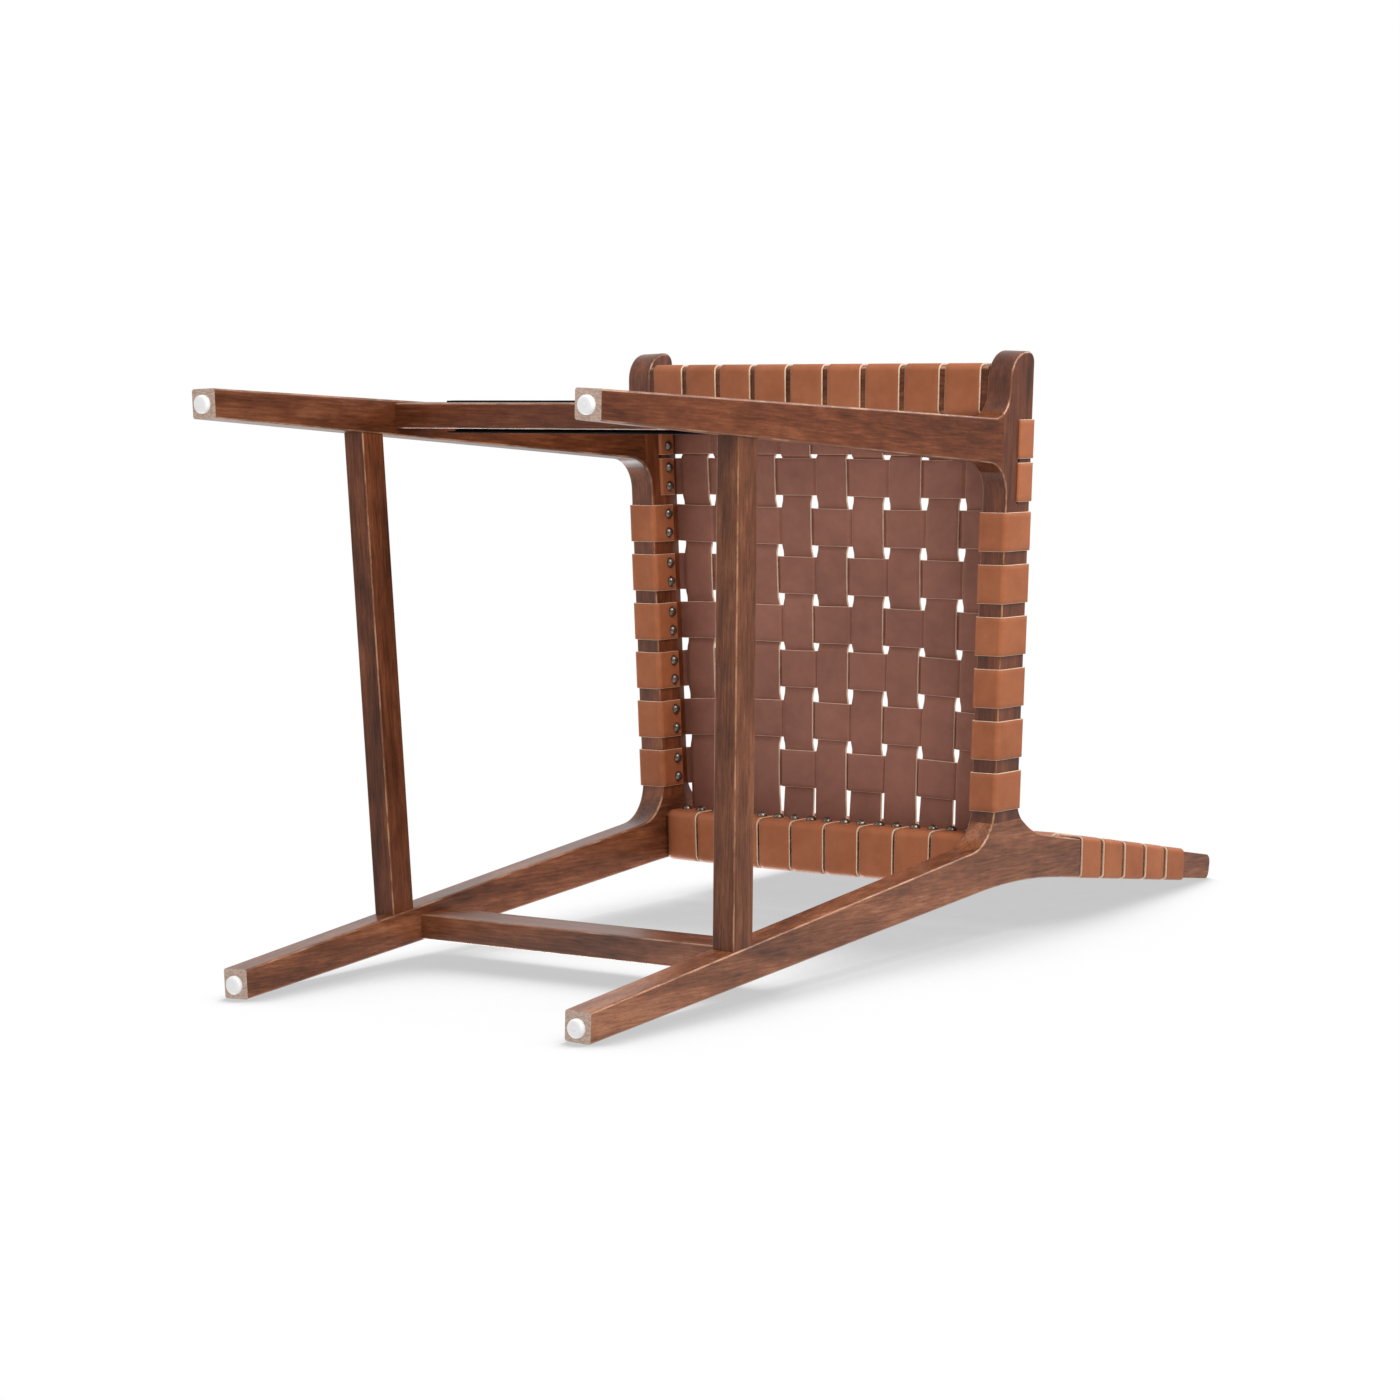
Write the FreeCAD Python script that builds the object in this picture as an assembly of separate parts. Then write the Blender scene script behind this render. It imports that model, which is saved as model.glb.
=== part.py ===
"""Counter-height stool: two shaped wooden side frames, cross rails and stretchers,
and a seat and back woven from flat leather straps.

Frame of the part, millimetres: X across the stool (+X is the sitter's left), -Y is the
front, +Z is up, and the glides stand on z = 0. The side frames are drawn with y measured
from the middle of the side rails, and every piece is shifted once, on writing, so that
the origin lies under the middle of the stool's footprint.
"""
import FreeCAD, Part
import math
import os

Vector = FreeCAD.Vector
os.makedirs("parts", exist_ok=True)

# ---------------------------------------------------------------- driving dimensions
# Side frames: flat shaped boards that stand closer together at the back.
SIDE_THICKNESS = 28.0
HALF_WIDTH = 224.7            # centre line to the outer face, at y = 0
TOE_IN = 0.0405               # how far the outer face comes in per millimetre of y
EDGE_ROUND = 2.5
GLIDE_HEIGHT = 6.0            # wood starts this far above the floor

# Lines of the side frame: (y at the floor end of the wood, change of y per height)
FRONT_LEG_FRONT = (-219.5, 0.0645)
FRONT_LEG_BACK = (-192.5, 0.0925)
REAR_LEG_FRONT = (307.0, -0.1068)
REAR_LEG_BACK = (334.6, -0.0822)
UPRIGHT_FRONT = (107.3, 0.18)
UPRIGHT_BACK = (181.5, 0.1377)

SEAT_TOP = 693.0              # top of the side rails at y = 0
SEAT_SLOPE = -0.014           # the seat falls gently to the back
RAIL_HEIGHT = 44.0
NOSE_TIP_Y = -242.5
NOSE_TIP_RISE = 3.5           # nose underside above the rail underside, at its tip
TIP_FRONT_Z = 1096.0
TIP_BACK_Z = 1092.0
KNEE_FRONT_Z = 724.0          # where the front of the upright would meet the rail's corner
KNEE_BACK_Z = 702.2           # where the rear leg and the upright would meet at the back
NOSE_CORNER_Y = -178.0        # front leg's corner with the nose
RAIL_FRONT_CORNER_Y = -133.0  # rail underside's corners with the two legs
RAIL_REAR_CORNER_Y = 239.0
UPRIGHT_CORNER_Y = 213.0      # rail top's corner with the upright
FRONT_JOINT_Z = 642.0         # front leg ends here, under the side rail
REAR_JOINT_Y = 218.0          # side rail ends here, against the rear leg
SHOULDER_Z = 814.0            # the upright is rebated for the straps above this height

# Corner radii of the side frame's outline
NOSE_ROOT_RADIUS = 25.0
NOSE_CHIN_RADIUS = 28.0
NOSE_TOP_RADIUS = 11.0
RAIL_TO_UPRIGHT_RADIUS = 26.0
UPRIGHT_KNEE_RADIUS = 90.0
TIP_FRONT_RADIUS = 9.0
TIP_BACK_RADIUS = 11.0
BACK_KNEE_RADIUS = 700.0
REAR_ARCH_RADIUS = 41.0
FRONT_ARCH_RADIUS = 32.0

# Stretchers, placed by (front y, bottom z), and rails, placed along their own panels
STRETCHER_DEPTH = 24.0
STRETCHER_HEIGHT = 46.0
FRONT_STRETCHER = (-201.5, 252.0)
REAR_STRETCHER = (287.5, 251.0)
SIDE_STRETCHER_WIDTH = 24.0
SIDE_STRETCHER_HEIGHT = 30.0
SIDE_STRETCHER_FRONT_Z = 205.0
SIDE_STRETCHER_REAR_Z = 214.0
STRETCHER_ROUND = 2.0
SEAT_RAIL_DEPTH = 47.0
SEAT_RAIL_HEIGHT = 41.0
SEAT_DISH = 11.0              # the seat rails bend down this far in the middle
DISH_ROOM = 0.1               # room under a curved rail for the flat section of a strap
WEAVE_TENSION = 0.35          # share of the dish that the taut weave takes out in its middle
SEAT_RAIL_FRONT_Y = -228.6
SEAT_RAIL_REAR_Y = 233.4
RAIL_ROUND = 5.0
BACK_RAIL_DEPTH = 20.0
BACK_RAIL_HEIGHT = 30.0
BACK_RAIL_SETBACK = 3.0
BACK_RAIL_LOW = -38.0         # foot of the lower back rail, along the back from the shoulder
BACK_RAIL_TOP = 234.0         # foot of the top back rail
BACK_RAIL_ROUND = 4.0

# Footrest plate: a thin metal channel over the front stretcher
PLATE_THICKNESS = 1.5
PLATE_LIP = 12.0
PLATE_END_GAP = 35.0
PLATE_ROUND = 0.4
PLATE_REAR_GAP = 3.5          # the channel is wider than the stretcher and sits forward on it

# Straps
STRAP_WIDTH = 38.0
STRAP_THICKNESS = 2.4
WEAVE_GAP = 0.1               # clear space where one strap crosses another
BEND = EDGE_ROUND + STRAP_THICKNESS / 2
LONG_STRAPS = 9
SLOT_STRAPS_Y = (-176.0, -134.0)
FIRST_WRAP_Y = -86.0
WRAP_PITCH = 51.0
WRAPS = 6
SLOT_OUTER_DROP = 24.0        # slot below the rail top, on the outer face
SLOT_INNER_DROP = 29.0
SLOT_HEIGHT = 3.4
SLOT_END_ROOM = 1.0
SLOT_REACH = 6.0              # how far the slot's cutter goes past the rail's faces
SLOT_BEND = 1.6               # middle-line bend where a strap turns into the slot
STRAP_END_DROP = 12.0         # strap end below the top of the rail's inner face
SLOT_STRAP_END_DROP = 8.0
SEAT_PITCH = (44.9, 41.0)     # pitch of the long straps at the front and rear rails
BACK_PITCH = (41.0, 41.0)
BACK_STRAPS = 5
FIRST_BACK_STRAP = 5.0        # lower edge above the shoulder, along the back
BACK_STRAP_PITCH = 45.0
BACK_STRAP_END_DROP = 5.0     # long strap ends below the edge of the back rails
STEP_SHARE = 0.6              # share of a gap in which a strap steps over or under the next
INNER_EDGE_ROOM = 0.5         # cross straps start their weave this far inside the side faces
BACK_LEAD = 1.5               # long straps leave a back rail this far past its edge

# Fixings
NAIL_HEAD_RADIUS = 5.5
NAIL_HEAD_HEIGHT = 4.6
NAIL_SHANK_RADIUS = 1.1
NAIL_LENGTH = 14.0
NAIL_SPREAD = 9.8             # half the distance between the two nails of a strap end
NAIL_DROP = 9.0               # nails below the strap end
BACK_NAIL_DROP = 7.0
NAIL_POINT = 2.0
DOWEL_RADIUS = 4.0
DOWEL_CHAMFER = 0.8
DOWEL_HALF_LENGTH = 16.0
SIDE_STRETCHER_DOWEL = 11.0   # half lengths of the shorter dowels
SEAT_RAIL_DOWEL = 14.0
BACK_RAIL_DOWEL = 10.0
LEG_DOWELS_Y = (-168.0, -146.0)
RAIL_DOWELS_Z = (660.0, 680.0)
SIDE_STRETCHER_DOWEL_STEP = 7.0
STRETCHER_DOWEL_STEP = 11.0
SEAT_RAIL_DOWEL_STEP = 11.0
BACK_RAIL_DOWEL_STEP = 7.0
GLIDE_RADIUS = 8.5
GLIDE_PIN_RADIUS = 1.25
GLIDE_PIN_LENGTH = 16.0
SCREW_RADIUS = 1.75
SCREW_HEAD_RADIUS = 3.5
SCREW_LENGTH = 16.0
SCREWS_X = (-120.0, 0.0, 120.0)
GLIDE_ROUND = 2.0

# Cutting helpers
BEYOND = 2000.0               # reaches past the part on every side
SMALL = 1e-6


# ---------------------------------------------------------------- outlines and ribbons
def line_y(line, z):
    """The y of a side frame line at height z."""
    foot_y, lean = line
    return foot_y + lean * (z - GLIDE_HEIGHT)


def rail_top(y):
    """Height of the top of the side rails."""
    return SEAT_TOP + SEAT_SLOPE * y


def corner(point, before, after, radius):
    """Start, middle and end of the arc that rounds a corner, or the corner itself."""
    to_before = (before - point).normalize()
    to_after = (after - point).normalize()
    turn = math.pi - to_before.getAngle(to_after)
    if radius < SMALL or turn < SMALL:
        return [point]
    reach = radius * math.tan(turn / 2)
    middle = (to_before + to_after).normalize()
    depth = radius / math.cos(turn / 2) - radius
    return [point + to_before * reach, point + middle * depth, point + to_after * reach]


def rounded_wire(points, radii):
    """Closed wire of straight runs and tangent arcs through the given corners."""
    count = len(points)
    stops = [corner(points[i], points[i - 1], points[(i + 1) % count], radii[i])
             for i in range(count)]
    edges = []
    for i in range(count):
        here = stops[i]
        following = stops[(i + 1) % count]
        if len(here) == 3:
            edges.append(Part.Arc(here[0], here[1], here[2]).toShape())
        if (following[0] - here[-1]).Length > SMALL:
            edges.append(Part.LineSegment(here[-1], following[0]).toShape())
    return Part.Wire(edges)


def side_outline(corners):
    """Face in the x = 0 plane from corners given as (y, z, radius)."""
    points = [Vector(0, y, z) for y, z, _ in corners]
    radii = [radius for _, _, radius in corners]
    return Part.Face(rounded_wire(points, radii))


def ribbon_outline(path):
    """Corners of a strap's edge-on outline, from its middle line as (a, b, bend radius)."""
    half = STRAP_THICKNESS / 2
    count = len(path)
    left = []
    right = []
    for i in range(count):
        a, b, bend = path[i]
        before = path[max(i - 1, 0)]
        after = path[min(i + 1, count - 1)]
        angle_in = math.atan2(b - before[1], a - before[0])
        angle_out = math.atan2(after[1] - b, after[0] - a)
        if i == 0:
            angle_in = angle_out
        if i == count - 1:
            angle_out = angle_in
        turn = math.remainder(angle_out - angle_in, 2 * math.pi)
        normal = angle_in + turn / 2 + math.pi / 2
        reach = half / math.cos(turn / 2)
        step_a = reach * math.cos(normal)
        step_b = reach * math.sin(normal)
        side = math.copysign(half, turn) if bend > 0 else 0
        left.append((a + step_a, b + step_b, bend - side))
        right.append((a - step_a, b - step_b, bend + side))
    return left + right[::-1]


def strap_between(outline_a, outline_b, place_a, place_b):
    """Solid strap ruled between its two edges."""
    wires = []
    for outline, place in ((outline_a, place_a), (outline_b, place_b)):
        points = [place(a, b) for a, b, _ in outline]
        radii = [radius for _, _, radius in outline]
        wires.append(rounded_wire(points, radii))
    return Part.makeLoft(wires, True, True)


# ---------------------------------------------------------------- placing
def toe_in_left(shape):
    """Moves a piece from the side frame's own plane to the sitter's left side."""
    placed = shape.copy()
    placed.rotate(Vector(0, 0, 0), Vector(0, 0, 1), math.degrees(math.atan(TOE_IN)))
    placed.translate(Vector(HALF_WIDTH, 0, 0))
    return placed


def mirrored(shape):
    """The same piece on the other side of the stool."""
    return shape.mirror(Vector(0, 0, 0), Vector(1, 0, 0))


def box(x_range, y_range, z_range):
    """Box from three (low, high) pairs."""
    size = [high - low for low, high in (x_range, y_range, z_range)]
    return Part.makeBox(size[0], size[1], size[2], Vector(x_range[0], y_range[0], z_range[0]))


def inner_x(y):
    """Inner face of the side frames."""
    return HALF_WIDTH - TOE_IN * y - SIDE_THICKNESS * math.hypot(1, TOE_IN)


def between_sides():
    """The room between the inner faces of the two side frames."""
    plan = [Vector(side * inner_x(y), y, 0)
            for y, side in ((-BEYOND, -1), (-BEYOND, 1), (BEYOND, 1), (BEYOND, -1))]
    return Part.Face(Part.makePolygon(plan + plan[:1])).extrude(Vector(0, 0, BEYOND))


def rotated(shape, degrees, base):
    """Turns a shape about X and moves its origin to base."""
    placed = shape.copy()
    placed.rotate(Vector(0, 0, 0), Vector(1, 0, 0), degrees)
    placed.translate(base)
    return placed


# ---------------------------------------------------------------- woven panels
class Panel:
    """A woven panel in its own frame: x across, y from its first rail to its last, and z
    out of the face that is sat on or leant on, with z = 0 at the top of the side members.
    drift is how far a cross strap's edge moves along y per depth, on its way round a side
    member."""

    def __init__(self, base, degrees, rebate, drift):
        self.base = base
        self.degrees = degrees
        self.rebate = rebate
        self.drift = drift
        angle = math.radians(degrees)
        self.y_per_y = math.cos(angle)
        self.y_per_z = -math.sin(angle)

    def place(self, shape):
        """Moves a shape from the panel's frame to the stool's."""
        return rotated(shape, self.degrees, self.base)

    def edge_y(self, y, z):
        """Where a cross strap's edge that crosses the face at y has got to at depth z."""
        return y - self.drift * z

    def side_faces(self, y, z):
        """Outer and inner face of the left side member, as x, at a point of the panel."""
        stool_y = self.base.y + self.y_per_y * y + self.y_per_z * z
        return HALF_WIDTH - TOE_IN * stool_y - self.rebate, inner_x(stool_y)

    def inward(self):
        """Direction out of the inner face of the left side member."""
        return Vector(-1, -TOE_IN * self.y_per_y, -TOE_IN * self.y_per_z).normalize()


# A side member's faces are square to its own plane, so toe-in brings the inner edge of a
# front face this far forward of the outer edge.
EDGE_LEAD = SIDE_THICKNESS * math.sin(math.atan(TOE_IN))
BACK_LEAN = math.atan(UPRIGHT_FRONT[1])

SEAT = Panel(Vector(0, 0, SEAT_TOP), math.degrees(math.atan(SEAT_SLOPE)), 0.0, 0.0)
BACK = Panel(Vector(0, line_y(UPRIGHT_FRONT, SHOULDER_Z) - EDGE_LEAD, SHOULDER_Z),
             90.0 - math.degrees(BACK_LEAN), STRAP_THICKNESS, math.tan(BACK_LEAN))


def rail_depth(_):
    """Depth of the side rail below the face of the seat."""
    return RAIL_HEIGHT


def upright_depth(y):
    """Depth of the rebated upright behind the back's face, at a level line through y."""
    z = SHOULDER_Z + y * math.cos(BACK_LEAN)
    rebate = STRAP_THICKNESS / math.cos(math.atan(UPRIGHT_BACK[1]))
    level_depth = line_y(UPRIGHT_BACK, z) - rebate - line_y(UPRIGHT_FRONT, z)
    return (level_depth + EDGE_LEAD) * math.cos(BACK_LEAN)


SEAT_CROSS_Y = list(SLOT_STRAPS_Y) + [FIRST_WRAP_Y + WRAP_PITCH * i for i in range(WRAPS)]
BACK_CROSS_Y = [FIRST_BACK_STRAP + BACK_STRAP_PITCH * i for i in range(BACK_STRAPS)]
SEAT_RAILS_Y = (SEAT_RAIL_FRONT_Y, SEAT_RAIL_REAR_Y)
BACK_RAILS_Y = (BACK_RAIL_LOW, BACK_RAIL_TOP)


def long_strap_x(index, y, rails_y, pitches):
    """Middle of a long strap at y: the straps fan from one rail's pitch to the other's."""
    share = (y - rails_y[0]) / (rails_y[1] - rails_y[0])
    pitch = pitches[0] + (pitches[1] - pitches[0]) * share
    return (index - (LONG_STRAPS - 1) / 2) * pitch


def crossing_offset(cross_index, long_index):
    """How far the long strap lies above the weave's middle plane where the two cross."""
    half_step = (STRAP_THICKNESS + WEAVE_GAP) / 2
    return half_step if (cross_index + long_index) % 2 == 0 else -half_step


def no_sag(x, y):
    """The back's face is flat."""
    return 0.0


def seat_sag(x, y):
    """Height of the dished seat over a flat one. The seat rails bend down between the side
    frames, and the weave's tension lifts it a little half way between the rails."""
    first = SEAT_RAIL_FRONT_Y + SEAT_RAIL_DEPTH + STRAP_THICKNESS
    last = SEAT_RAIL_REAR_Y - STRAP_THICKNESS
    if first < y < last:
        half_width = inner_x(y)
        share = (2 * y - first - last) / (last - first)
        depth = SEAT_DISH * (1 - WEAVE_TENSION * (1 - share * share))
    else:
        rail_y = SEAT_RAIL_FRONT_Y if y <= first else SEAT_RAIL_REAR_Y
        half_width = inner_x(rail_y + SEAT_RAIL_DEPTH / 2)
        depth = SEAT_DISH
    return -depth * max(0.0, 1 - (x / half_width) ** 2)


def ramp_room(gap):
    """Room kept at each end of a step so that its bend clears the crossing strap."""
    steepest = math.atan2(STRAP_THICKNESS + WEAVE_GAP, gap * STEP_SHARE)
    return STRAP_THICKNESS / 2 * math.tan(steepest / 2)


def room_between(crosses, i):
    """Room kept beside cross strap i, in the gap between it and the next one."""
    if i < 0 or i + 1 == len(crosses):
        return ramp_room(WRAP_PITCH - STRAP_WIDTH)
    return ramp_room(crosses[i + 1] - crosses[i] - STRAP_WIDTH)


def cross_weave_path(y, cross_index, rails_y, pitches, x_start, sag):
    """Woven run of a cross strap from -x_start to x_start, as (x, z, bend)."""
    middle = STRAP_THICKNESS / 2
    path = [(-x_start, middle, 0)]
    for k in range(LONG_STRAPS):
        x = long_strap_x(k, y, rails_y, pitches)
        pitch = long_strap_x(1, y, rails_y, pitches) - long_strap_x(0, y, rails_y, pitches)
        room = STRAP_WIDTH / 2 + ramp_room(pitch - STRAP_WIDTH)
        z = middle - crossing_offset(cross_index, k)
        path += [(edge, z + sag(edge, y), 0) for edge in (x - room, x + room)]
    path.append((x_start, middle, 0))
    return path


def wrap_path(panel, y, depth_at):
    """Middle line of a strap end round the left side member, as (x, z, bend)."""
    half = STRAP_THICKNESS / 2
    bottom = -depth_at(y)
    outer_top = panel.side_faces(y, 0)[0] + half
    outer_low = panel.side_faces(panel.edge_y(y, bottom), bottom)[0] + half
    inner_low = panel.side_faces(panel.edge_y(y, bottom), bottom)[1] - half
    inner_end = panel.side_faces(panel.edge_y(y, -STRAP_END_DROP), -STRAP_END_DROP)[1] - half
    return [(inner_end, -STRAP_END_DROP, 0), (inner_low, bottom - half, BEND),
            (outer_low, bottom - half, BEND), (outer_top, half, BEND)]


def slot_path(panel, y, _):
    """Middle line of a strap end that goes down the outer face and back in through the slot."""
    half = STRAP_THICKNESS / 2
    outer, inner = panel.side_faces(y, 0)
    return [(inner - half, -SLOT_STRAP_END_DROP, 0),
            (inner - half, -SLOT_INNER_DROP, SLOT_BEND),
            (outer + half, -SLOT_OUTER_DROP, SLOT_BEND), (outer + half, half, BEND)]


def cross_strap(panel, y, cross_index, rails_y, pitches, end_path, depth_at, sag):
    """One strap across a panel, woven through the long straps and held at both ends."""
    outlines = []
    for edge_y in (y, y + STRAP_WIDTH):
        left_end = end_path(panel, edge_y, depth_at)
        x_start = panel.side_faces(edge_y, 0)[1] + INNER_EDGE_ROOM
        weave = cross_weave_path(edge_y, cross_index, rails_y, pitches, x_start, sag)
        right_end = [(-x, z, bend) for x, z, bend in left_end]
        outlines.append(ribbon_outline(right_end + weave + left_end[::-1]))

    def edge(edge_y):
        return lambda a, b: Vector(a, panel.edge_y(edge_y, b), b)

    return strap_between(outlines[0], outlines[1], edge(y), edge(y + STRAP_WIDTH))


def long_strap(index, rails_y, pitches, crosses, rail, sag):
    """One strap along a panel. rail holds depth, height, setback, corner rounding and ends."""
    half = STRAP_THICKNESS / 2
    bend = rail["round"] + half
    top = half - rail["setback"]
    low = -rail["setback"] - rail["height"] - half
    end = -rail["setback"] - rail["end_drop"]
    first = rails_y[0]
    last = rails_y[1] + rail["depth"]
    path = [(first + rail["depth"] + half, end, 0), (first + rail["depth"] + half, low, bend),
            (first - half, low, bend), (first - half, top, bend),
            (first + rail["depth"] + rail["lead"], top, 0)]
    for i, y in enumerate(crosses):
        z = half + crossing_offset(i, index)
        path += [(y - room_between(crosses, i - 1), z, 0),
                 (y + STRAP_WIDTH + room_between(crosses, i), z, 0)]
    path += [(last - rail["depth"] - rail["lead"], top, 0), (last + half, top, bend),
             (last + half, low, bend), (last - rail["depth"] - half, low, bend),
             (last - rail["depth"] - half, end, 0)]

    def edge_x(side, y):
        return long_strap_x(index, y, rails_y, pitches) + side

    def edge(side):
        return lambda a, b: Vector(edge_x(side, a), a, b)

    def outline(side):
        return ribbon_outline([(y, z + sag(edge_x(side, y), y), turn) for y, z, turn in path])

    low, high = -STRAP_WIDTH / 2, STRAP_WIDTH / 2
    return strap_between(outline(low), outline(high), edge(low), edge(high))


# ---------------------------------------------------------------- wooden side frames
def frame_corners():
    """Corners of a side frame's outline as (y, z, radius), from the front foot upwards."""
    floor = GLIDE_HEIGHT
    root_z = rail_top(NOSE_CORNER_Y) - RAIL_HEIGHT
    chin_z = rail_top(NOSE_TIP_Y) - RAIL_HEIGHT + NOSE_TIP_RISE
    front_z = rail_top(RAIL_FRONT_CORNER_Y) - RAIL_HEIGHT
    rear_z = rail_top(RAIL_REAR_CORNER_Y) - RAIL_HEIGHT
    return [
        (line_y(FRONT_LEG_FRONT, floor), floor, 0),
        (line_y(FRONT_LEG_FRONT, root_z), root_z, NOSE_ROOT_RADIUS),
        (NOSE_TIP_Y, chin_z, NOSE_CHIN_RADIUS),
        (NOSE_TIP_Y, rail_top(NOSE_TIP_Y), NOSE_TOP_RADIUS),
        (UPRIGHT_CORNER_Y, rail_top(UPRIGHT_CORNER_Y), RAIL_TO_UPRIGHT_RADIUS),
        (line_y(UPRIGHT_FRONT, KNEE_FRONT_Z), KNEE_FRONT_Z, UPRIGHT_KNEE_RADIUS),
        (line_y(UPRIGHT_FRONT, TIP_FRONT_Z), TIP_FRONT_Z, TIP_FRONT_RADIUS),
        (line_y(UPRIGHT_BACK, TIP_BACK_Z), TIP_BACK_Z, TIP_BACK_RADIUS),
        (line_y(UPRIGHT_BACK, KNEE_BACK_Z), KNEE_BACK_Z, BACK_KNEE_RADIUS),
        (line_y(REAR_LEG_BACK, floor), floor, 0),
        (line_y(REAR_LEG_FRONT, floor), floor, 0),
        (line_y(REAR_LEG_FRONT, rear_z), rear_z, REAR_ARCH_RADIUS),
        (line_y(FRONT_LEG_BACK, front_z), front_z, FRONT_ARCH_RADIUS),
        (line_y(FRONT_LEG_BACK, floor), floor, 0),
    ]


def frame_blank():
    """A whole side frame before it is parted into leg, rail and rear leg."""
    blank = side_outline(frame_corners()).extrude(Vector(-SIDE_THICKNESS, 0, 0))
    long_edges = [edge for edge in blank.Edges
                  if abs(edge.BoundBox.XLength) < 0.01 and edge.BoundBox.ZMax > GLIDE_HEIGHT + 1]
    return blank.makeFillet(EDGE_ROUND, long_edges)


def strap_rebate():
    """What is taken off the upright's outer and back faces so that the straps lie flush."""
    above = box((-BEYOND, BEYOND), (-BEYOND, BEYOND), (SHOULDER_Z, BEYOND))
    outer = box((-STRAP_THICKNESS, BEYOND), (-BEYOND, BEYOND), (-BEYOND, BEYOND))
    back = box((-BEYOND, BEYOND), (-STRAP_THICKNESS, BEYOND), (-BEYOND, BEYOND))
    lean = math.degrees(math.atan(UPRIGHT_BACK[1]))
    leaning = rotated(back, -lean, Vector(0, line_y(UPRIGHT_BACK, SHOULDER_Z), SHOULDER_Z))
    return outer.fuse(leaning).common(above)


def slot_tool():
    """The sloping slot through the side rail that takes the two front cross straps."""
    low_y = SLOT_STRAPS_Y[0] - SLOT_END_ROOM
    length = SLOT_STRAPS_Y[1] + STRAP_WIDTH + SLOT_END_ROOM - low_y
    slope = (SLOT_INNER_DROP - SLOT_OUTER_DROP) / SIDE_THICKNESS
    points = []
    for x, rise in ((SLOT_REACH, -1), (SLOT_REACH, 1), (-SIDE_THICKNESS - SLOT_REACH, 1),
                    (-SIDE_THICKNESS - SLOT_REACH, -1)):
        z = rail_top(low_y) - SLOT_OUTER_DROP + slope * x + rise * SLOT_HEIGHT / 2
        points.append(Vector(x, low_y, z))
    face = Part.Face(Part.makePolygon(points + points[:1]))
    return face.extrude(Vector(0, length, SEAT_SLOPE * length))


def side_frame_pieces():
    """Front leg, side rail and rear leg of one side frame, in the frame's own plane."""
    blank = frame_blank()
    leg_zone = box((-BEYOND, BEYOND), (-BEYOND, 0), (-BEYOND, FRONT_JOINT_Z))
    rear_zone = box((-BEYOND, BEYOND), (REAR_JOINT_Y, BEYOND), (-BEYOND, BEYOND))
    return {
        "front_leg": blank.common(leg_zone),
        "side_rail": blank.cut(leg_zone).cut(rear_zone).cut(slot_tool()),
        "rear_leg": blank.common(rear_zone).cut(strap_rebate()),
    }


def side_stretcher():
    """Bar between the legs of one side frame, its ends cut to the legs' faces."""
    ends = [(FRONT_LEG_BACK, SIDE_STRETCHER_FRONT_Z),
            (REAR_LEG_FRONT, SIDE_STRETCHER_REAR_Z),
            (REAR_LEG_FRONT, SIDE_STRETCHER_REAR_Z + SIDE_STRETCHER_HEIGHT),
            (FRONT_LEG_BACK, SIDE_STRETCHER_FRONT_Z + SIDE_STRETCHER_HEIGHT)]
    bar = side_outline([(line_y(line, z), z, 0) for line, z in ends])
    bar.translate(Vector((SIDE_STRETCHER_WIDTH - SIDE_THICKNESS) / 2, 0, 0))
    bar = bar.extrude(Vector(-SIDE_STRETCHER_WIDTH, 0, 0))
    long_edges = [edge for edge in bar.Edges if edge.BoundBox.YLength > SIDE_STRETCHER_HEIGHT]
    return bar.makeFillet(STRETCHER_ROUND, long_edges)


# ---------------------------------------------------------------- cross members
def section(low_y, low_z, depth, height, radius):
    """Rectangle with rounded corners as (y, z, radius) corners."""
    return [(low_y, low_z, radius), (low_y + depth, low_z, radius),
            (low_y + depth, low_z + height, radius), (low_y, low_z + height, radius)]


def bar_across(corners, half_length):
    """Bar along X with the given (y, z, radius) section."""
    face = side_outline(corners)
    face.translate(Vector(-half_length, 0, 0))
    return face.extrude(Vector(2 * half_length, 0, 0))


def stretcher(place, room):
    """Low bar across the stool from its front bottom edge, cut to the side frames."""
    corners = section(place[0], place[1], STRETCHER_DEPTH, STRETCHER_HEIGHT, STRETCHER_ROUND)
    return bar_across(corners, 2 * HALF_WIDTH).common(room)


def panel_member(panel, low_y, rail, room):
    """Rail across a panel: depth along the panel, height behind its face."""
    corners = section(low_y, -rail["setback"] - rail["height"], rail["depth"],
                      rail["height"], rail["round"])
    return panel.place(bar_across(corners, 2 * HALF_WIDTH)).common(room)


def dished_rail(low_y, rail, room):
    """Rail across the seat, of even height, bent down in the middle."""
    half_width = inner_x(low_y + rail["depth"] / 2)
    radius = (half_width ** 2 + SEAT_DISH ** 2) / (2 * SEAT_DISH)
    reach = half_width + rail["depth"] / 2

    def arc(z):
        rise = radius - math.sqrt(radius ** 2 - reach ** 2)
        ends = [Vector(x, low_y, z - SEAT_DISH + rise) for x in (-reach, reach)]
        return Part.Arc(ends[0], Vector(0, low_y, z - SEAT_DISH), ends[1]).toShape(), ends

    top, top_ends = arc(0)
    bottom, bottom_ends = arc(DISH_ROOM - rail["height"])
    sides = [Part.LineSegment(a, b).toShape() for a, b in zip(top_ends, bottom_ends)]
    bar = Part.Face(Part.Wire([top, sides[1], bottom, sides[0]]))
    bar = bar.extrude(Vector(0, rail["depth"], 0))
    long_edges = [edge for edge in bar.Edges if edge.BoundBox.XLength > half_width]
    return SEAT.place(bar.makeFillet(rail["round"], long_edges)).common(room)


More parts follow.
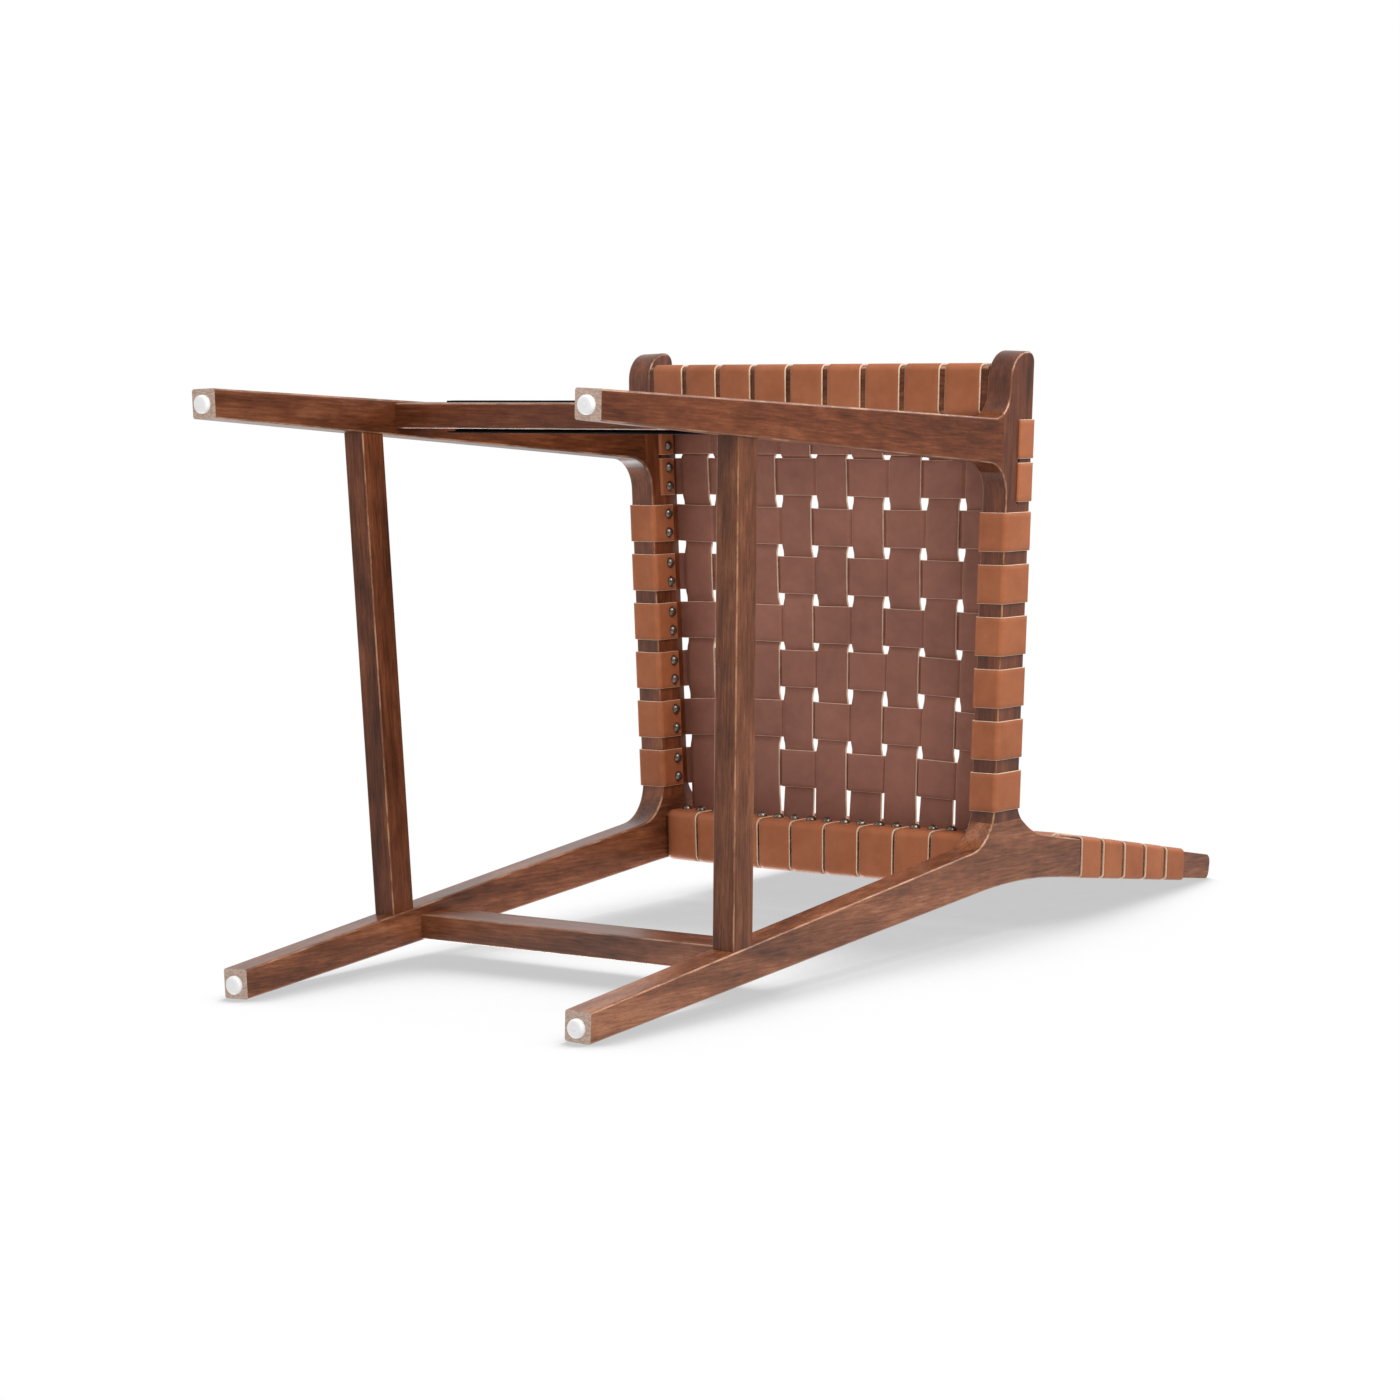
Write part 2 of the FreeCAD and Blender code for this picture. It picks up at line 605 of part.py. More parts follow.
def footrest_plate(room):
    """Metal channel that covers the top of the front stretcher."""
    y, z = FRONT_STRETCHER
    top = z + STRETCHER_HEIGHT
    low_y = y - PLATE_THICKNESS
    rear_y = y + STRETCHER_DEPTH + PLATE_REAR_GAP
    high_y = rear_y + PLATE_THICKNESS
    half_length = inner_x(y) - PLATE_END_GAP
    channel = bar_across(section(low_y, top - PLATE_LIP, high_y - low_y,
                                 PLATE_LIP + PLATE_THICKNESS, PLATE_ROUND), half_length)
    inside = box((-BEYOND, BEYOND), (y, rear_y), (-BEYOND, top))
    return channel.cut(inside).common(room)


# ---------------------------------------------------------------- fixings
def nail():
    """Dome-headed nail at the origin: head above z = 0, shank below."""
    radius = (NAIL_HEAD_RADIUS ** 2 + NAIL_HEAD_HEIGHT ** 2) / (2 * NAIL_HEAD_HEIGHT)
    centre = NAIL_HEAD_HEIGHT - radius
    middle_angle = (math.pi / 2 + math.asin(-centre / radius)) / 2
    dome = Part.Arc(Vector(0, 0, NAIL_HEAD_HEIGHT),
                    Vector(radius * math.cos(middle_angle), 0,
                           centre + radius * math.sin(middle_angle)),
                    Vector(NAIL_HEAD_RADIUS, 0, 0)).toShape()
    tip_z = -NAIL_LENGTH
    corners = [Vector(NAIL_HEAD_RADIUS, 0, 0), Vector(NAIL_SHANK_RADIUS, 0, 0),
               Vector(NAIL_SHANK_RADIUS, 0, tip_z + NAIL_POINT), Vector(0, 0, tip_z),
               Vector(0, 0, NAIL_HEAD_HEIGHT)]
    sides = [Part.LineSegment(a, b).toShape() for a, b in zip(corners, corners[1:])]
    profile = Part.Face(Part.Wire([dome] + sides))
    return profile.revolve(Vector(0, 0, 0), Vector(0, 0, 1), 360)


def aimed(shape, position, outward):
    """Turns a shape's +Z to the outward direction and moves it to the position."""
    placed = shape.copy()
    placed.Placement = FreeCAD.Placement(position, FreeCAD.Rotation(Vector(0, 0, 1), outward))
    return placed


def nail_spots_on_sides(panel, crosses, end_drops):
    """Positions and outward directions of the nails on the side members' inner faces."""
    spots = []
    inward = panel.inward()
    for y, end_drop in zip(crosses, end_drops):
        z = -end_drop - NAIL_DROP
        for shift in (-NAIL_SPREAD, NAIL_SPREAD):
            nail_y = panel.edge_y(y + STRAP_WIDTH / 2 + shift, z)
            x = panel.side_faces(nail_y, z)[1] - STRAP_THICKNESS
            spots += [(Vector(x, nail_y, z), inward),
                      (Vector(-x, nail_y, z), Vector(-inward.x, inward.y, inward.z))]
    return spots


def nail_spots_on_rails(rails_y, pitches, rail, sag):
    """Positions and outward directions of the nails on the end rails' facing sides."""
    z = -rail["setback"] - rail["end_drop"] - rail["nail_drop"]
    faces = ((rails_y[0] + rail["depth"] + STRAP_THICKNESS, Vector(0, 1, 0)),
             (rails_y[1] - STRAP_THICKNESS, Vector(0, -1, 0)))
    spots = []
    for k in range(LONG_STRAPS):
        for y, outward in faces:
            x = long_strap_x(k, y, rails_y, pitches)
            for nail_x in (x - NAIL_SPREAD, x + NAIL_SPREAD):
                spots.append((Vector(nail_x, y, z + sag(nail_x, y)), outward))
    return spots


def nails_and_holes(panel, spots):
    """Placed nails, and the straight holes that their shanks need."""
    shank = Part.makeCylinder(NAIL_SHANK_RADIUS, NAIL_LENGTH, Vector(0, 0, -NAIL_LENGTH))
    nails = [panel.place(aimed(nail(), at, outward)) for at, outward in spots]
    holes = [panel.place(aimed(shank, at, outward)) for at, outward in spots]
    return nails, holes


def dowel(position, along, half_length=DOWEL_HALF_LENGTH):
    """Dowel centred on a joint, with small chamfers."""
    pin = Part.makeCylinder(DOWEL_RADIUS, 2 * half_length, Vector(0, 0, -half_length))
    rims = [edge for edge in pin.Edges if edge.BoundBox.ZLength < 0.01]
    return aimed(pin.makeChamfer(DOWEL_CHAMFER, rims), position, along)


def corner_dowels():
    """Dowels of the joints inside one side frame, in the frame's own plane."""
    x = -SIDE_THICKNESS / 2
    pins = [dowel(Vector(x, y, FRONT_JOINT_Z), Vector(0, 0, 1)) for y in LEG_DOWELS_Y]
    pins += [dowel(Vector(x, REAR_JOINT_Y, z), Vector(0, 1, 0)) for z in RAIL_DOWELS_Z]
    return pins


def side_stretcher_dowels():
    """Dowels at the two ends of one side stretcher, in the frame's own plane."""
    x = -SIDE_THICKNESS / 2
    pins = []
    for line, low_z in ((FRONT_LEG_BACK, SIDE_STRETCHER_FRONT_Z),
                        (REAR_LEG_FRONT, SIDE_STRETCHER_REAR_Z)):
        middle_z = low_z + SIDE_STRETCHER_HEIGHT / 2
        y = line_y(line, middle_z)
        for shift in (-SIDE_STRETCHER_DOWEL_STEP, SIDE_STRETCHER_DOWEL_STEP):
            pins.append(dowel(Vector(x, y, middle_z + shift), Vector(0, 1, 0),
                              SIDE_STRETCHER_DOWEL))
    return pins


def end_dowels(y, z, spread_y, spread_z, half_length=DOWEL_HALF_LENGTH):
    """Two dowels at each end of a cross member whose section is centred on (y, z)."""
    pins = []
    for sign in (-1, 1):
        at_y = y + sign * spread_y
        at_z = z + sign * spread_z
        for side in (-1, 1):
            pins.append(dowel(Vector(side * inner_x(at_y), at_y, at_z), Vector(1, 0, 0),
                              half_length))
    return pins


def foot_centres():
    """Centres of the four feet's end faces."""
    spots = []
    for front, back in ((FRONT_LEG_FRONT, FRONT_LEG_BACK), (REAR_LEG_FRONT, REAR_LEG_BACK)):
        y = (front[0] + back[0]) / 2
        x = inner_x(y) + SIDE_THICKNESS / 2
        spots += [Vector(x, y, GLIDE_HEIGHT), Vector(-x, y, GLIDE_HEIGHT)]
    return spots


def glide():
    """Nailed nylon glide under a foot: a domed disc with a pin, its top at z = 0."""
    disc = Part.makeCylinder(GLIDE_RADIUS, GLIDE_HEIGHT, Vector(0, 0, -GLIDE_HEIGHT))
    rim = [edge for edge in disc.Edges
           if edge.BoundBox.ZMax < -GLIDE_HEIGHT / 2 and edge.BoundBox.ZLength < 0.01]
    pin = Part.makeCylinder(GLIDE_PIN_RADIUS, GLIDE_PIN_LENGTH)
    return disc.makeFillet(GLIDE_ROUND, rim).fuse(pin)


def plate_screw():
    """Countersunk screw with its head flush with z = 0."""
    head_depth = SCREW_HEAD_RADIUS - SCREW_RADIUS
    head = Part.makeCone(SCREW_RADIUS, SCREW_HEAD_RADIUS, head_depth, Vector(0, 0, -head_depth))
    return head.fuse(Part.makeCylinder(SCREW_RADIUS, SCREW_LENGTH, Vector(0, 0, -SCREW_LENGTH)))


def plate_screws():
    """Three screws down through the footrest plate."""
    y, z = FRONT_STRETCHER
    top = z + STRETCHER_HEIGHT + PLATE_THICKNESS
    return [aimed(plate_screw(), Vector(x, y + STRETCHER_DEPTH / 2, top), Vector(0, 0, 1))
            for x in SCREWS_X]


# ---------------------------------------------------------------- assembly
SEAT_RAIL = {"depth": SEAT_RAIL_DEPTH, "height": SEAT_RAIL_HEIGHT, "setback": 0.0,
             "round": RAIL_ROUND, "end_drop": STRAP_END_DROP, "nail_drop": NAIL_DROP,
             "lead": 0.0}
BACK_RAIL = {"depth": BACK_RAIL_HEIGHT, "height": BACK_RAIL_DEPTH,
             "setback": BACK_RAIL_SETBACK, "round": BACK_RAIL_ROUND,
             "end_drop": BACK_STRAP_END_DROP, "nail_drop": BACK_NAIL_DROP, "lead": BACK_LEAD}


def wooden_pieces():
    """Every wooden piece and the dowels between them, before holes are made."""
    frame = side_frame_pieces()
    room = between_sides()
    frame["side_stretcher"] = side_stretcher()
    pieces = {}
    for name, shape in frame.items():
        left = toe_in_left(shape)
        pieces[name + "_left"] = left
        pieces[name + "_right"] = mirrored(left)
    pieces["front_seat_rail"] = dished_rail(SEAT_RAIL_FRONT_Y, SEAT_RAIL, room)
    pieces["rear_seat_rail"] = dished_rail(SEAT_RAIL_REAR_Y, SEAT_RAIL, room)
    pieces["lower_back_rail"] = panel_member(BACK, BACK_RAIL_LOW, BACK_RAIL, room)
    pieces["top_back_rail"] = panel_member(BACK, BACK_RAIL_TOP, BACK_RAIL, room)
    pieces["front_stretcher"] = stretcher(FRONT_STRETCHER, room)
    pieces["rear_stretcher"] = stretcher(REAR_STRETCHER, room)
    return pieces, room


def dowel_groups():
    """The hidden dowels, by the kind of joint that they hold."""
    corner_pins = [toe_in_left(pin) for pin in corner_dowels()]
    side_pins = [toe_in_left(pin) for pin in side_stretcher_dowels()]
    stretcher_pins = side_pins + [mirrored(pin) for pin in side_pins]
    for y, z in (FRONT_STRETCHER, REAR_STRETCHER):
        stretcher_pins += end_dowels(y + STRETCHER_DEPTH / 2, z + STRETCHER_HEIGHT / 2,
                                     0, STRETCHER_DOWEL_STEP)
    seat_pins = []
    for y in SEAT_RAILS_Y:
        middle_y = y + SEAT_RAIL_DEPTH / 2
        seat_pins += end_dowels(middle_y, rail_top(middle_y) - SEAT_RAIL_HEIGHT / 2,
                                SEAT_RAIL_DOWEL_STEP, 0, SEAT_RAIL_DOWEL)
    back_pins = []
    for y in BACK_RAILS_Y:
        middle = BACK.place(Part.Vertex(0, y + BACK_RAIL_HEIGHT / 2,
                                        -BACK_RAIL_SETBACK - BACK_RAIL_DEPTH / 2)).Point
        back_pins += end_dowels(middle.y, middle.z, BACK_RAIL_DOWEL_STEP * math.sin(BACK_LEAN),
                                BACK_RAIL_DOWEL_STEP * math.cos(BACK_LEAN), BACK_RAIL_DOWEL)
    return {
        "side_frame_dowels": corner_pins + [mirrored(pin) for pin in corner_pins],
        "stretcher_dowels": stretcher_pins,
        "seat_rail_dowels": seat_pins,
        "back_rail_dowels": back_pins,
    }


def strap_pieces():
    """Every strap of the seat and of the back."""
    straps = {}
    for i, y in enumerate(SEAT_CROSS_Y):
        end_path = slot_path if i < len(SLOT_STRAPS_Y) else wrap_path
        strap = cross_strap(SEAT, y, i, SEAT_RAILS_Y, SEAT_PITCH, end_path, rail_depth,
                            seat_sag)
        straps[f"seat_cross_strap_{i + 1}"] = SEAT.place(strap)
    for k in range(LONG_STRAPS):
        strap = long_strap(k, SEAT_RAILS_Y, SEAT_PITCH, SEAT_CROSS_Y, SEAT_RAIL, seat_sag)
        straps[f"seat_long_strap_{k + 1}"] = SEAT.place(strap)
    for i, y in enumerate(BACK_CROSS_Y):
        strap = cross_strap(BACK, y, i, BACK_RAILS_Y, BACK_PITCH, wrap_path, upright_depth,
                            no_sag)
        straps[f"back_cross_strap_{i + 1}"] = BACK.place(strap)
    for k in range(LONG_STRAPS):
        strap = long_strap(k, BACK_RAILS_Y, BACK_PITCH, BACK_CROSS_Y, BACK_RAIL, no_sag)
        straps[f"back_long_strap_{k + 1}"] = BACK.place(strap)
    return straps


def nail_groups():
    """The four sets of nails, with the holes that each set makes."""
    seat_drops = [SLOT_STRAP_END_DROP] * len(SLOT_STRAPS_Y) + [STRAP_END_DROP] * WRAPS
    back_drops = [STRAP_END_DROP] * BACK_STRAPS
    return {
        "seat_cross_strap_nails": nails_and_holes(
            SEAT, nail_spots_on_sides(SEAT, SEAT_CROSS_Y, seat_drops)),
        "seat_long_strap_nails": nails_and_holes(
            SEAT, nail_spots_on_rails(SEAT_RAILS_Y, SEAT_PITCH, SEAT_RAIL, seat_sag)),
        "back_cross_strap_nails": nails_and_holes(
            BACK, nail_spots_on_sides(BACK, BACK_CROSS_Y, back_drops)),
        "back_long_strap_nails": nails_and_holes(
            BACK, nail_spots_on_rails(BACK_RAILS_Y, BACK_PITCH, BACK_RAIL, no_sag)),
    }


def cut_near(shape, tools):
    """Cuts only the tools that touch the shape's box."""
    near = [tool for tool in tools if tool.BoundBox.intersect(shape.BoundBox)]
    return shape.cut(near) if near else shape


def footprint_middle():
    """The y halfway between the nose tips and the heels of the rear feet."""
    angle = math.atan(TOE_IN)
    front = NOSE_TIP_Y * math.cos(angle) - EDGE_LEAD
    back = REAR_LEG_BACK[0] * math.cos(angle)
    return (front + back) / 2


def write(name, shape):
    """Shifts a piece to the part's origin and writes it."""
    placed = shape.copy()
    placed.translate(Vector(0, -footprint_middle(), 0))
    placed.exportStep(f"parts/{name}.step")


def main():
    pieces, room = wooden_pieces()
    pieces["footrest_plate"] = footrest_plate(room)
    pieces.update(strap_pieces())
    groups = dowel_groups()
    groups["plate_screws"] = plate_screws()
    groups["foot_glides"] = [aimed(glide(), at, Vector(0, 0, 1)) for at in foot_centres()]
    cutters = [pin for pins in groups.values() for pin in pins]
    for name, (nails, holes) in nail_groups().items():
        groups[name] = nails
        cutters += holes
    for name, shape in pieces.items():
        write(name, cut_near(shape, cutters))
    for name, solids in groups.items():
        write(name, Part.makeCompound(solids))


main()
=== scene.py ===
"""Looks for the woven-strap counter stool. Leather straps, nails, glides and screw heads are
rebuilt with their real surfaces, and the wooden frame gets its staining and grain, with
painted light and shade on each part and a painted highlight along its edges. The camera
sees the stool from below, as if it lay on its back."""
import math
import random

import bpy
import numpy as np
from mathutils import Matrix, Vector


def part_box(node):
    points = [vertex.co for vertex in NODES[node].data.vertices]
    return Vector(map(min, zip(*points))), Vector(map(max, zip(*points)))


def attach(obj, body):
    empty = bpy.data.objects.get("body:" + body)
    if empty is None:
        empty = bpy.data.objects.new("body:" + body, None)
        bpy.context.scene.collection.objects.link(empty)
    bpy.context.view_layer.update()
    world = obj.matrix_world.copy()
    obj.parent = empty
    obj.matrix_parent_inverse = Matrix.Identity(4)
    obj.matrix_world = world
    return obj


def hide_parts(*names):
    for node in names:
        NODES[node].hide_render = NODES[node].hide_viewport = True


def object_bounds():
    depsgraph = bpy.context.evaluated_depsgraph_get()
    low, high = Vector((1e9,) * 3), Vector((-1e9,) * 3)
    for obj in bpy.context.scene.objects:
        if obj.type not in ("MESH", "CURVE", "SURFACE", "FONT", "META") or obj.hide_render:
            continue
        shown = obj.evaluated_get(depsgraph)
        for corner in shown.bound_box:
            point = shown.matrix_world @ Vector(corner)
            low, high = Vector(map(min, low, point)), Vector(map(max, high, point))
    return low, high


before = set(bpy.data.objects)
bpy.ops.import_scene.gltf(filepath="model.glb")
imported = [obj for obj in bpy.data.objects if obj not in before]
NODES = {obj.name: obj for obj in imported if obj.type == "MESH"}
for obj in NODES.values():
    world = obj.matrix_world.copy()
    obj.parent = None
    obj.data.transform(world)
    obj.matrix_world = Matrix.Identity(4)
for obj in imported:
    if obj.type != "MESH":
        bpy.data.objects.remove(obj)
CAD_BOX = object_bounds()
MM = 0.001

# ------------------------------------------------------------ sizes shared with the frame
HALF_WIDTH = 224.7 * MM          # at the middle of the side rails
TOE_IN = 0.0405
SIDE_THICKNESS = 28 * MM
STRAP_WIDTH = 38 * MM
THICKNESS = 2.4 * MM
WEAVE_STEP = 2.5 * MM            # between the middle lines of two crossing straps
BEND = 3.7 * MM                  # middle-line radius where a strap turns round wood
SEAT_SLOPE = -0.014
SEAT_TOP = 693 * MM
RAIL_HEIGHT = 44 * MM
SHOULDER_Z = 814 * MM            # the uprights are rebated for the straps above this height
GLIDE_HEIGHT = 6 * MM
# Lines of the uprights' front and back faces: y where the line, drawn on downwards, reaches
# the soles of the legs, and its lean for each unit of height
UPRIGHT_FRONT = (107.3 * MM, 0.18)
UPRIGHT_BACK = (181.5 * MM, 0.1377)
# In these formulas y counts from the middle of the side rails. The front stretcher shows how
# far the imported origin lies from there.
FRONT_STRETCHER_Y = -201.5 * MM
ORIGIN_Y = FRONT_STRETCHER_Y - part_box("front_stretcher")[0].y
EDGE_LEAD = SIDE_THICKNESS * math.sin(math.atan(TOE_IN))
BACK_LEAN = math.atan(UPRIGHT_FRONT[1])
LONG_STRAPS = 9

random.seed(7)


def line_y(line, z):
    return line[0] + line[1] * (z - GLIDE_HEIGHT)


# ------------------------------------------------------------ panels of the seat and back
class Panel:
    """A woven panel's own frame: x across, y from its first rail to its last, z out of the
    face that is sat on or leant on. rebate is how deep the straps are let into the side
    members, and drift keeps the wraps round a leaning member level."""

    def __init__(self, base, angle, rebate, drift):
        self.base = base
        self.angle = angle
        self.rebate = rebate
        self.drift = drift
        shift = Vector((0, base.y - ORIGIN_Y, base.z))
        self.matrix = Matrix.Translation(shift) @ Matrix.Rotation(angle, 4, "X")

    def side_faces(self, y, z):
        """Outer and inner face of the left side member at a point of the panel."""
        stool_y = self.base.y + math.cos(self.angle) * y - math.sin(self.angle) * z
        outer = HALF_WIDTH - TOE_IN * stool_y
        return outer - self.rebate, outer - SIDE_THICKNESS * math.hypot(1, TOE_IN)


SEAT = Panel(Vector((0, 0, SEAT_TOP)), math.atan(SEAT_SLOPE), 0, 0)
BACK = Panel(Vector((0, line_y(UPRIGHT_FRONT, SHOULDER_Z) - EDGE_LEAD, SHOULDER_Z)),
             math.pi / 2 - BACK_LEAN, THICKNESS, math.tan(BACK_LEAN))


def rail_depth(_):
    return RAIL_HEIGHT


def upright_depth(y):
    z = SHOULDER_Z + y * math.cos(BACK_LEAN)
    rebate = THICKNESS / math.cos(math.atan(UPRIGHT_BACK[1]))
    level = line_y(UPRIGHT_BACK, z) - rebate - line_y(UPRIGHT_FRONT, z)
    return (level + EDGE_LEAD) * math.cos(BACK_LEAN)


# Edges of the cross straps nearer to the first rail
SEAT_CROSS_Y = [y * MM for y in (-176, -134, -86, -35, 16, 67, 118, 169)]
BACK_CROSS_Y = [y * MM for y in (5, 50, 95, 140, 185)]
SLOTTED_STRAPS = 2               # this many in front pass through slots in the side rails
# y and pitch are the places of the two rails and of the long straps on them, setback is how
# far a rail lies under the panel, end how far under the rail's top the straps end, and lead
# how far past the rail the weave starts.
SEAT_RAIL = {"y": (-228.6 * MM, 233.4 * MM), "pitch": (44.9 * MM, 41 * MM), "depth": 47 * MM,
             "height": 41 * MM, "setback": 0, "round": 5 * MM, "end": 12 * MM, "lead": 0}
BACK_RAIL = {"y": (-38 * MM, 234 * MM), "pitch": (41 * MM, 41 * MM), "depth": 30 * MM,
             "height": 20 * MM, "setback": 3 * MM, "round": 4 * MM, "end": 5 * MM,
             "lead": 1.5 * MM}

SEAT_DISH = 11 * MM              # the seat rails bend down this far in the middle
WEAVE_TENSION = 0.35             # share of the dish the taut weave takes out in its middle
# How far the middle of each cross strap has slipped towards the first rail in use
SEAT_SLIP = [slip * MM for slip in (1.5, 1.5, -1, 0.3, 1.5, 6.5, 5, 5.5)]
BACK_SLIP = [slip * MM for slip in (0, 0.6, 0, 1, 0.4)]


def half_width_at(y):
    """From the middle of the seat to the inner face of a side rail."""
    return HALF_WIDTH - TOE_IN * y - SIDE_THICKNESS * math.hypot(1, TOE_IN)


def bow(x, y):
    """One in the middle of the panel, falling to nothing at the side members."""
    return max(0.0, 1 - (x / half_width_at(y)) ** 2)


def slipped(x, y):
    """Share of a cross strap's slip at x: flat over most of the panel, none at its ends."""
    return max(0.0, 1 - (x / half_width_at(y)) ** 4)


def no_sag(_x, _y):
    return 0.0


def seat_sag(x, y):
    """Height of the dished seat over its flat plane. The weave is pulled a little flatter
    than the rails it hangs from."""
    first = SEAT_RAIL["y"][0] + SEAT_RAIL["depth"] + THICKNESS
    last = SEAT_RAIL["y"][1] - THICKNESS
    if first < y < last:
        share = (2 * y - first - last) / (last - first)
        return -SEAT_DISH * (1 - WEAVE_TENSION * (1 - share * share)) * bow(x, y)
    rail_y = SEAT_RAIL["y"][0 if y <= first else 1]
    return -SEAT_DISH * bow(x, rail_y + SEAT_RAIL["depth"] / 2)


def long_x(index, y, rail):
    """Middle of a long strap at y: the straps fan from one rail's pitch to the other's."""
    first, last = rail["y"]
    share = (y - first) / (last - first)
    pitch = rail["pitch"][0] + (rail["pitch"][1] - rail["pitch"][0]) * share
    return (index - (LONG_STRAPS - 1) / 2) * pitch


# ------------------------------------------------------------ strap paths
ARC_STEPS = 8
LINE_STEP = 4 * MM
CROSSING_STEPS = 4               # samples on each half of a crossing
GAP_STEPS = 6
STRAIGHT = 0.001                 # a corner that turns less than this stays a point
WRAP_END = 12 * MM               # a wrapped strap ends this far under the face
WEAVE_LEAD = 0.5 * MM            # and its weave starts this far before the inner face
SLOT_END_Z = -8 * MM
SLOT_INNER_Z = -29 * MM
SLOT_OUTER_Z = -24 * MM
SLOT_BEND = 1.6 * MM


def arc_points(before, at, after, radius):
    """The rounded corner between two straight runs, as points."""
    to_before = (before - at).normalized()
    to_after = (after - at).normalized()
    turn = math.pi - to_before.angle(to_after)
    if radius <= 0 or turn < STRAIGHT:
        return [at.copy()]
    reach = radius * math.tan(turn / 2)
    middle = (to_before + to_after).normalized()
    centre = at + middle * (radius / math.cos(turn / 2))
    start = at + to_before * reach - centre
    end = at + to_after * reach - centre
    points = []
    for i in range(ARC_STEPS + 1):
        share = i / ARC_STEPS
        blend = (start * math.sin((1 - share) * turn) + end * math.sin(share * turn))
        points.append(centre + blend / math.sin(turn))
    return points


def rounded(corners, counts=None):
    """Points along straight runs and tangent arcs, from (a, b, radius) corners. The same
    counts make the two edges of a strap match point for point."""
    at = [Vector((a, b)) for a, b, _ in corners]
    stops = [[at[0]]]
    for i in range(1, len(corners) - 1):
        stops.append(arc_points(at[i - 1], at[i], at[i + 1], corners[i][2]))
    stops.append([at[-1]])
    points = []
    used = []
    for i, here in enumerate(stops):
        points += here
        if i + 1 == len(stops):
            break
        gap = stops[i + 1][0] - here[-1]
        count = counts[i] if counts else max(1, round(gap.length / LINE_STEP))
        used.append(count)
        points += [here[-1] + gap * (j / count) for j in range(1, count)]
    return points, used


def ease(share):
    share = min(max(share, 0), 1)
    return share * share * (3 - 2 * share)


def weave_z(position, centres, signs, bulge):
    """Height of a strap's middle line over the weave's middle plane. It steps over and
    under in the gaps between the crossings, and swells a little on each crossing."""
    half = STRAP_WIDTH / 2
    heights = [sign * WEAVE_STEP / 2 for sign in signs]
    for i, centre in enumerate(centres):
        if position <= centre + half:
            if position >= centre - half:
                across = (position - centre) / half
                return heights[i] + signs[i] * bulge * (1 - across * across)
            if i == 0:
                return heights[0]
            start = centres[i - 1] + half
            share = ease((position - start) / (centre - half - start))
            return heights[i - 1] + (heights[i] - heights[i - 1]) * share
    return heights[-1]


def weave_samples(start, end, centres):
    """Positions along a woven run, closer together in the gaps where the strap steps."""
    stops = {start, end}
    half = STRAP_WIDTH / 2
    for i, centre in enumerate(centres):
        stops.update(centre + half * j / CROSSING_STEPS
                     for j in range(-CROSSING_STEPS, CROSSING_STEPS + 1))
        if i:
            low, high = centres[i - 1] + half, centre - half
            stops.update(low + (high - low) * j / GAP_STEPS for j in range(1, GAP_STEPS))
    return sorted(x for x in stops if start <= x <= end)


def wrap_corners(panel, y, depth_at):
    """Strap end round the left side member, from its inner end to the face."""
    half = THICKNESS / 2
    bottom = -depth_at(y)
    outer_top = panel.side_faces(y, 0)[0] + half
    outer_low, inner_low = panel.side_faces(y - panel.drift * bottom, bottom)
    inner_end = panel.side_faces(y + panel.drift * WRAP_END, -WRAP_END)[1] - half
    return [(inner_end, -WRAP_END, 0), (inner_low - half, bottom - half, BEND),
            (outer_low + half, bottom - half, BEND), (outer_top, half, BEND)]


def slot_corners(panel, y, _):
    """Strap end down the outer face, in through the rail's slot and up the inner face."""
    half = THICKNESS / 2
    outer, inner = panel.side_faces(y, 0)
    return [(inner - half, SLOT_END_Z, 0), (inner - half, SLOT_INNER_Z, SLOT_BEND),
            (outer + half, SLOT_OUTER_Z, SLOT_BEND), (outer + half, half, BEND)]


def cross_path(panel, y, index, rail, corners_at, depth_at, bulge, counts):
    """Middle line of one edge of a cross strap, from its right end to its left end."""
    half = THICKNESS / 2
    corners = corners_at(panel, y, depth_at)
    x_start = panel.side_faces(y, 0)[1] + WEAVE_LEAD
    centres = [long_x(k, y, rail) for k in range(LONG_STRAPS)]
    signs = [-1 if (index + k) % 2 == 0 else 1 for k in range(LONG_STRAPS)]
    left, counts = rounded(corners + [(x_start, half, 0)], counts)
    right = [Vector((-p.x, p.y)) for p in left]
    woven = []
    for x in weave_samples(-x_start, x_start, centres)[1:-1]:
        z = half + weave_z(x, centres, signs, bulge)
        settle = ease((x_start - abs(x)) / (x_start - centres[-1] - STRAP_WIDTH / 2))
        woven.append(Vector((x, half + (z - half) * settle)))
    return right + woven + left[::-1], counts


def long_path(index, rail, crosses, bulge):
    """Middle line of a long strap as (y, z) in the panel's frame."""
    half = THICKNESS / 2
    bend = rail["round"] + half
    top = half - rail["setback"]
    low = -rail["setback"] - rail["height"] - half
    end = -rail["setback"] - rail["end"]
    first = rail["y"][0]
    last = rail["y"][1] + rail["depth"]
    inside = rail["depth"] + half
    centres = [y + STRAP_WIDTH / 2 for y in crosses]
    signs = [1 if (i + index) % 2 == 0 else -1 for i in range(len(crosses))]
    entry = first + rail["depth"] + rail["lead"]
    leave = last - rail["depth"] - rail["lead"]
    before, _ = rounded([(first + inside, end, 0), (first + inside, low, bend),
                         (first - half, low, bend), (first - half, top, bend),
                         (entry, top, 0)])
    after, _ = rounded([(leave, top, 0), (last + half, top, bend), (last + half, low, bend),
                        (last - inside, low, bend), (last - inside, end, 0)])
    woven = []
    for y in weave_samples(entry, leave, centres):
        z = half + weave_z(y, centres, signs, bulge)
        settle = min(ease((y - entry) / (centres[0] - STRAP_WIDTH / 2 - entry)),
                     ease((leave - y) / (leave - centres[-1] - STRAP_WIDTH / 2)))
        woven.append(Vector((y, top + (z - top) * settle)))
    return before[:-1] + woven + after[1:]


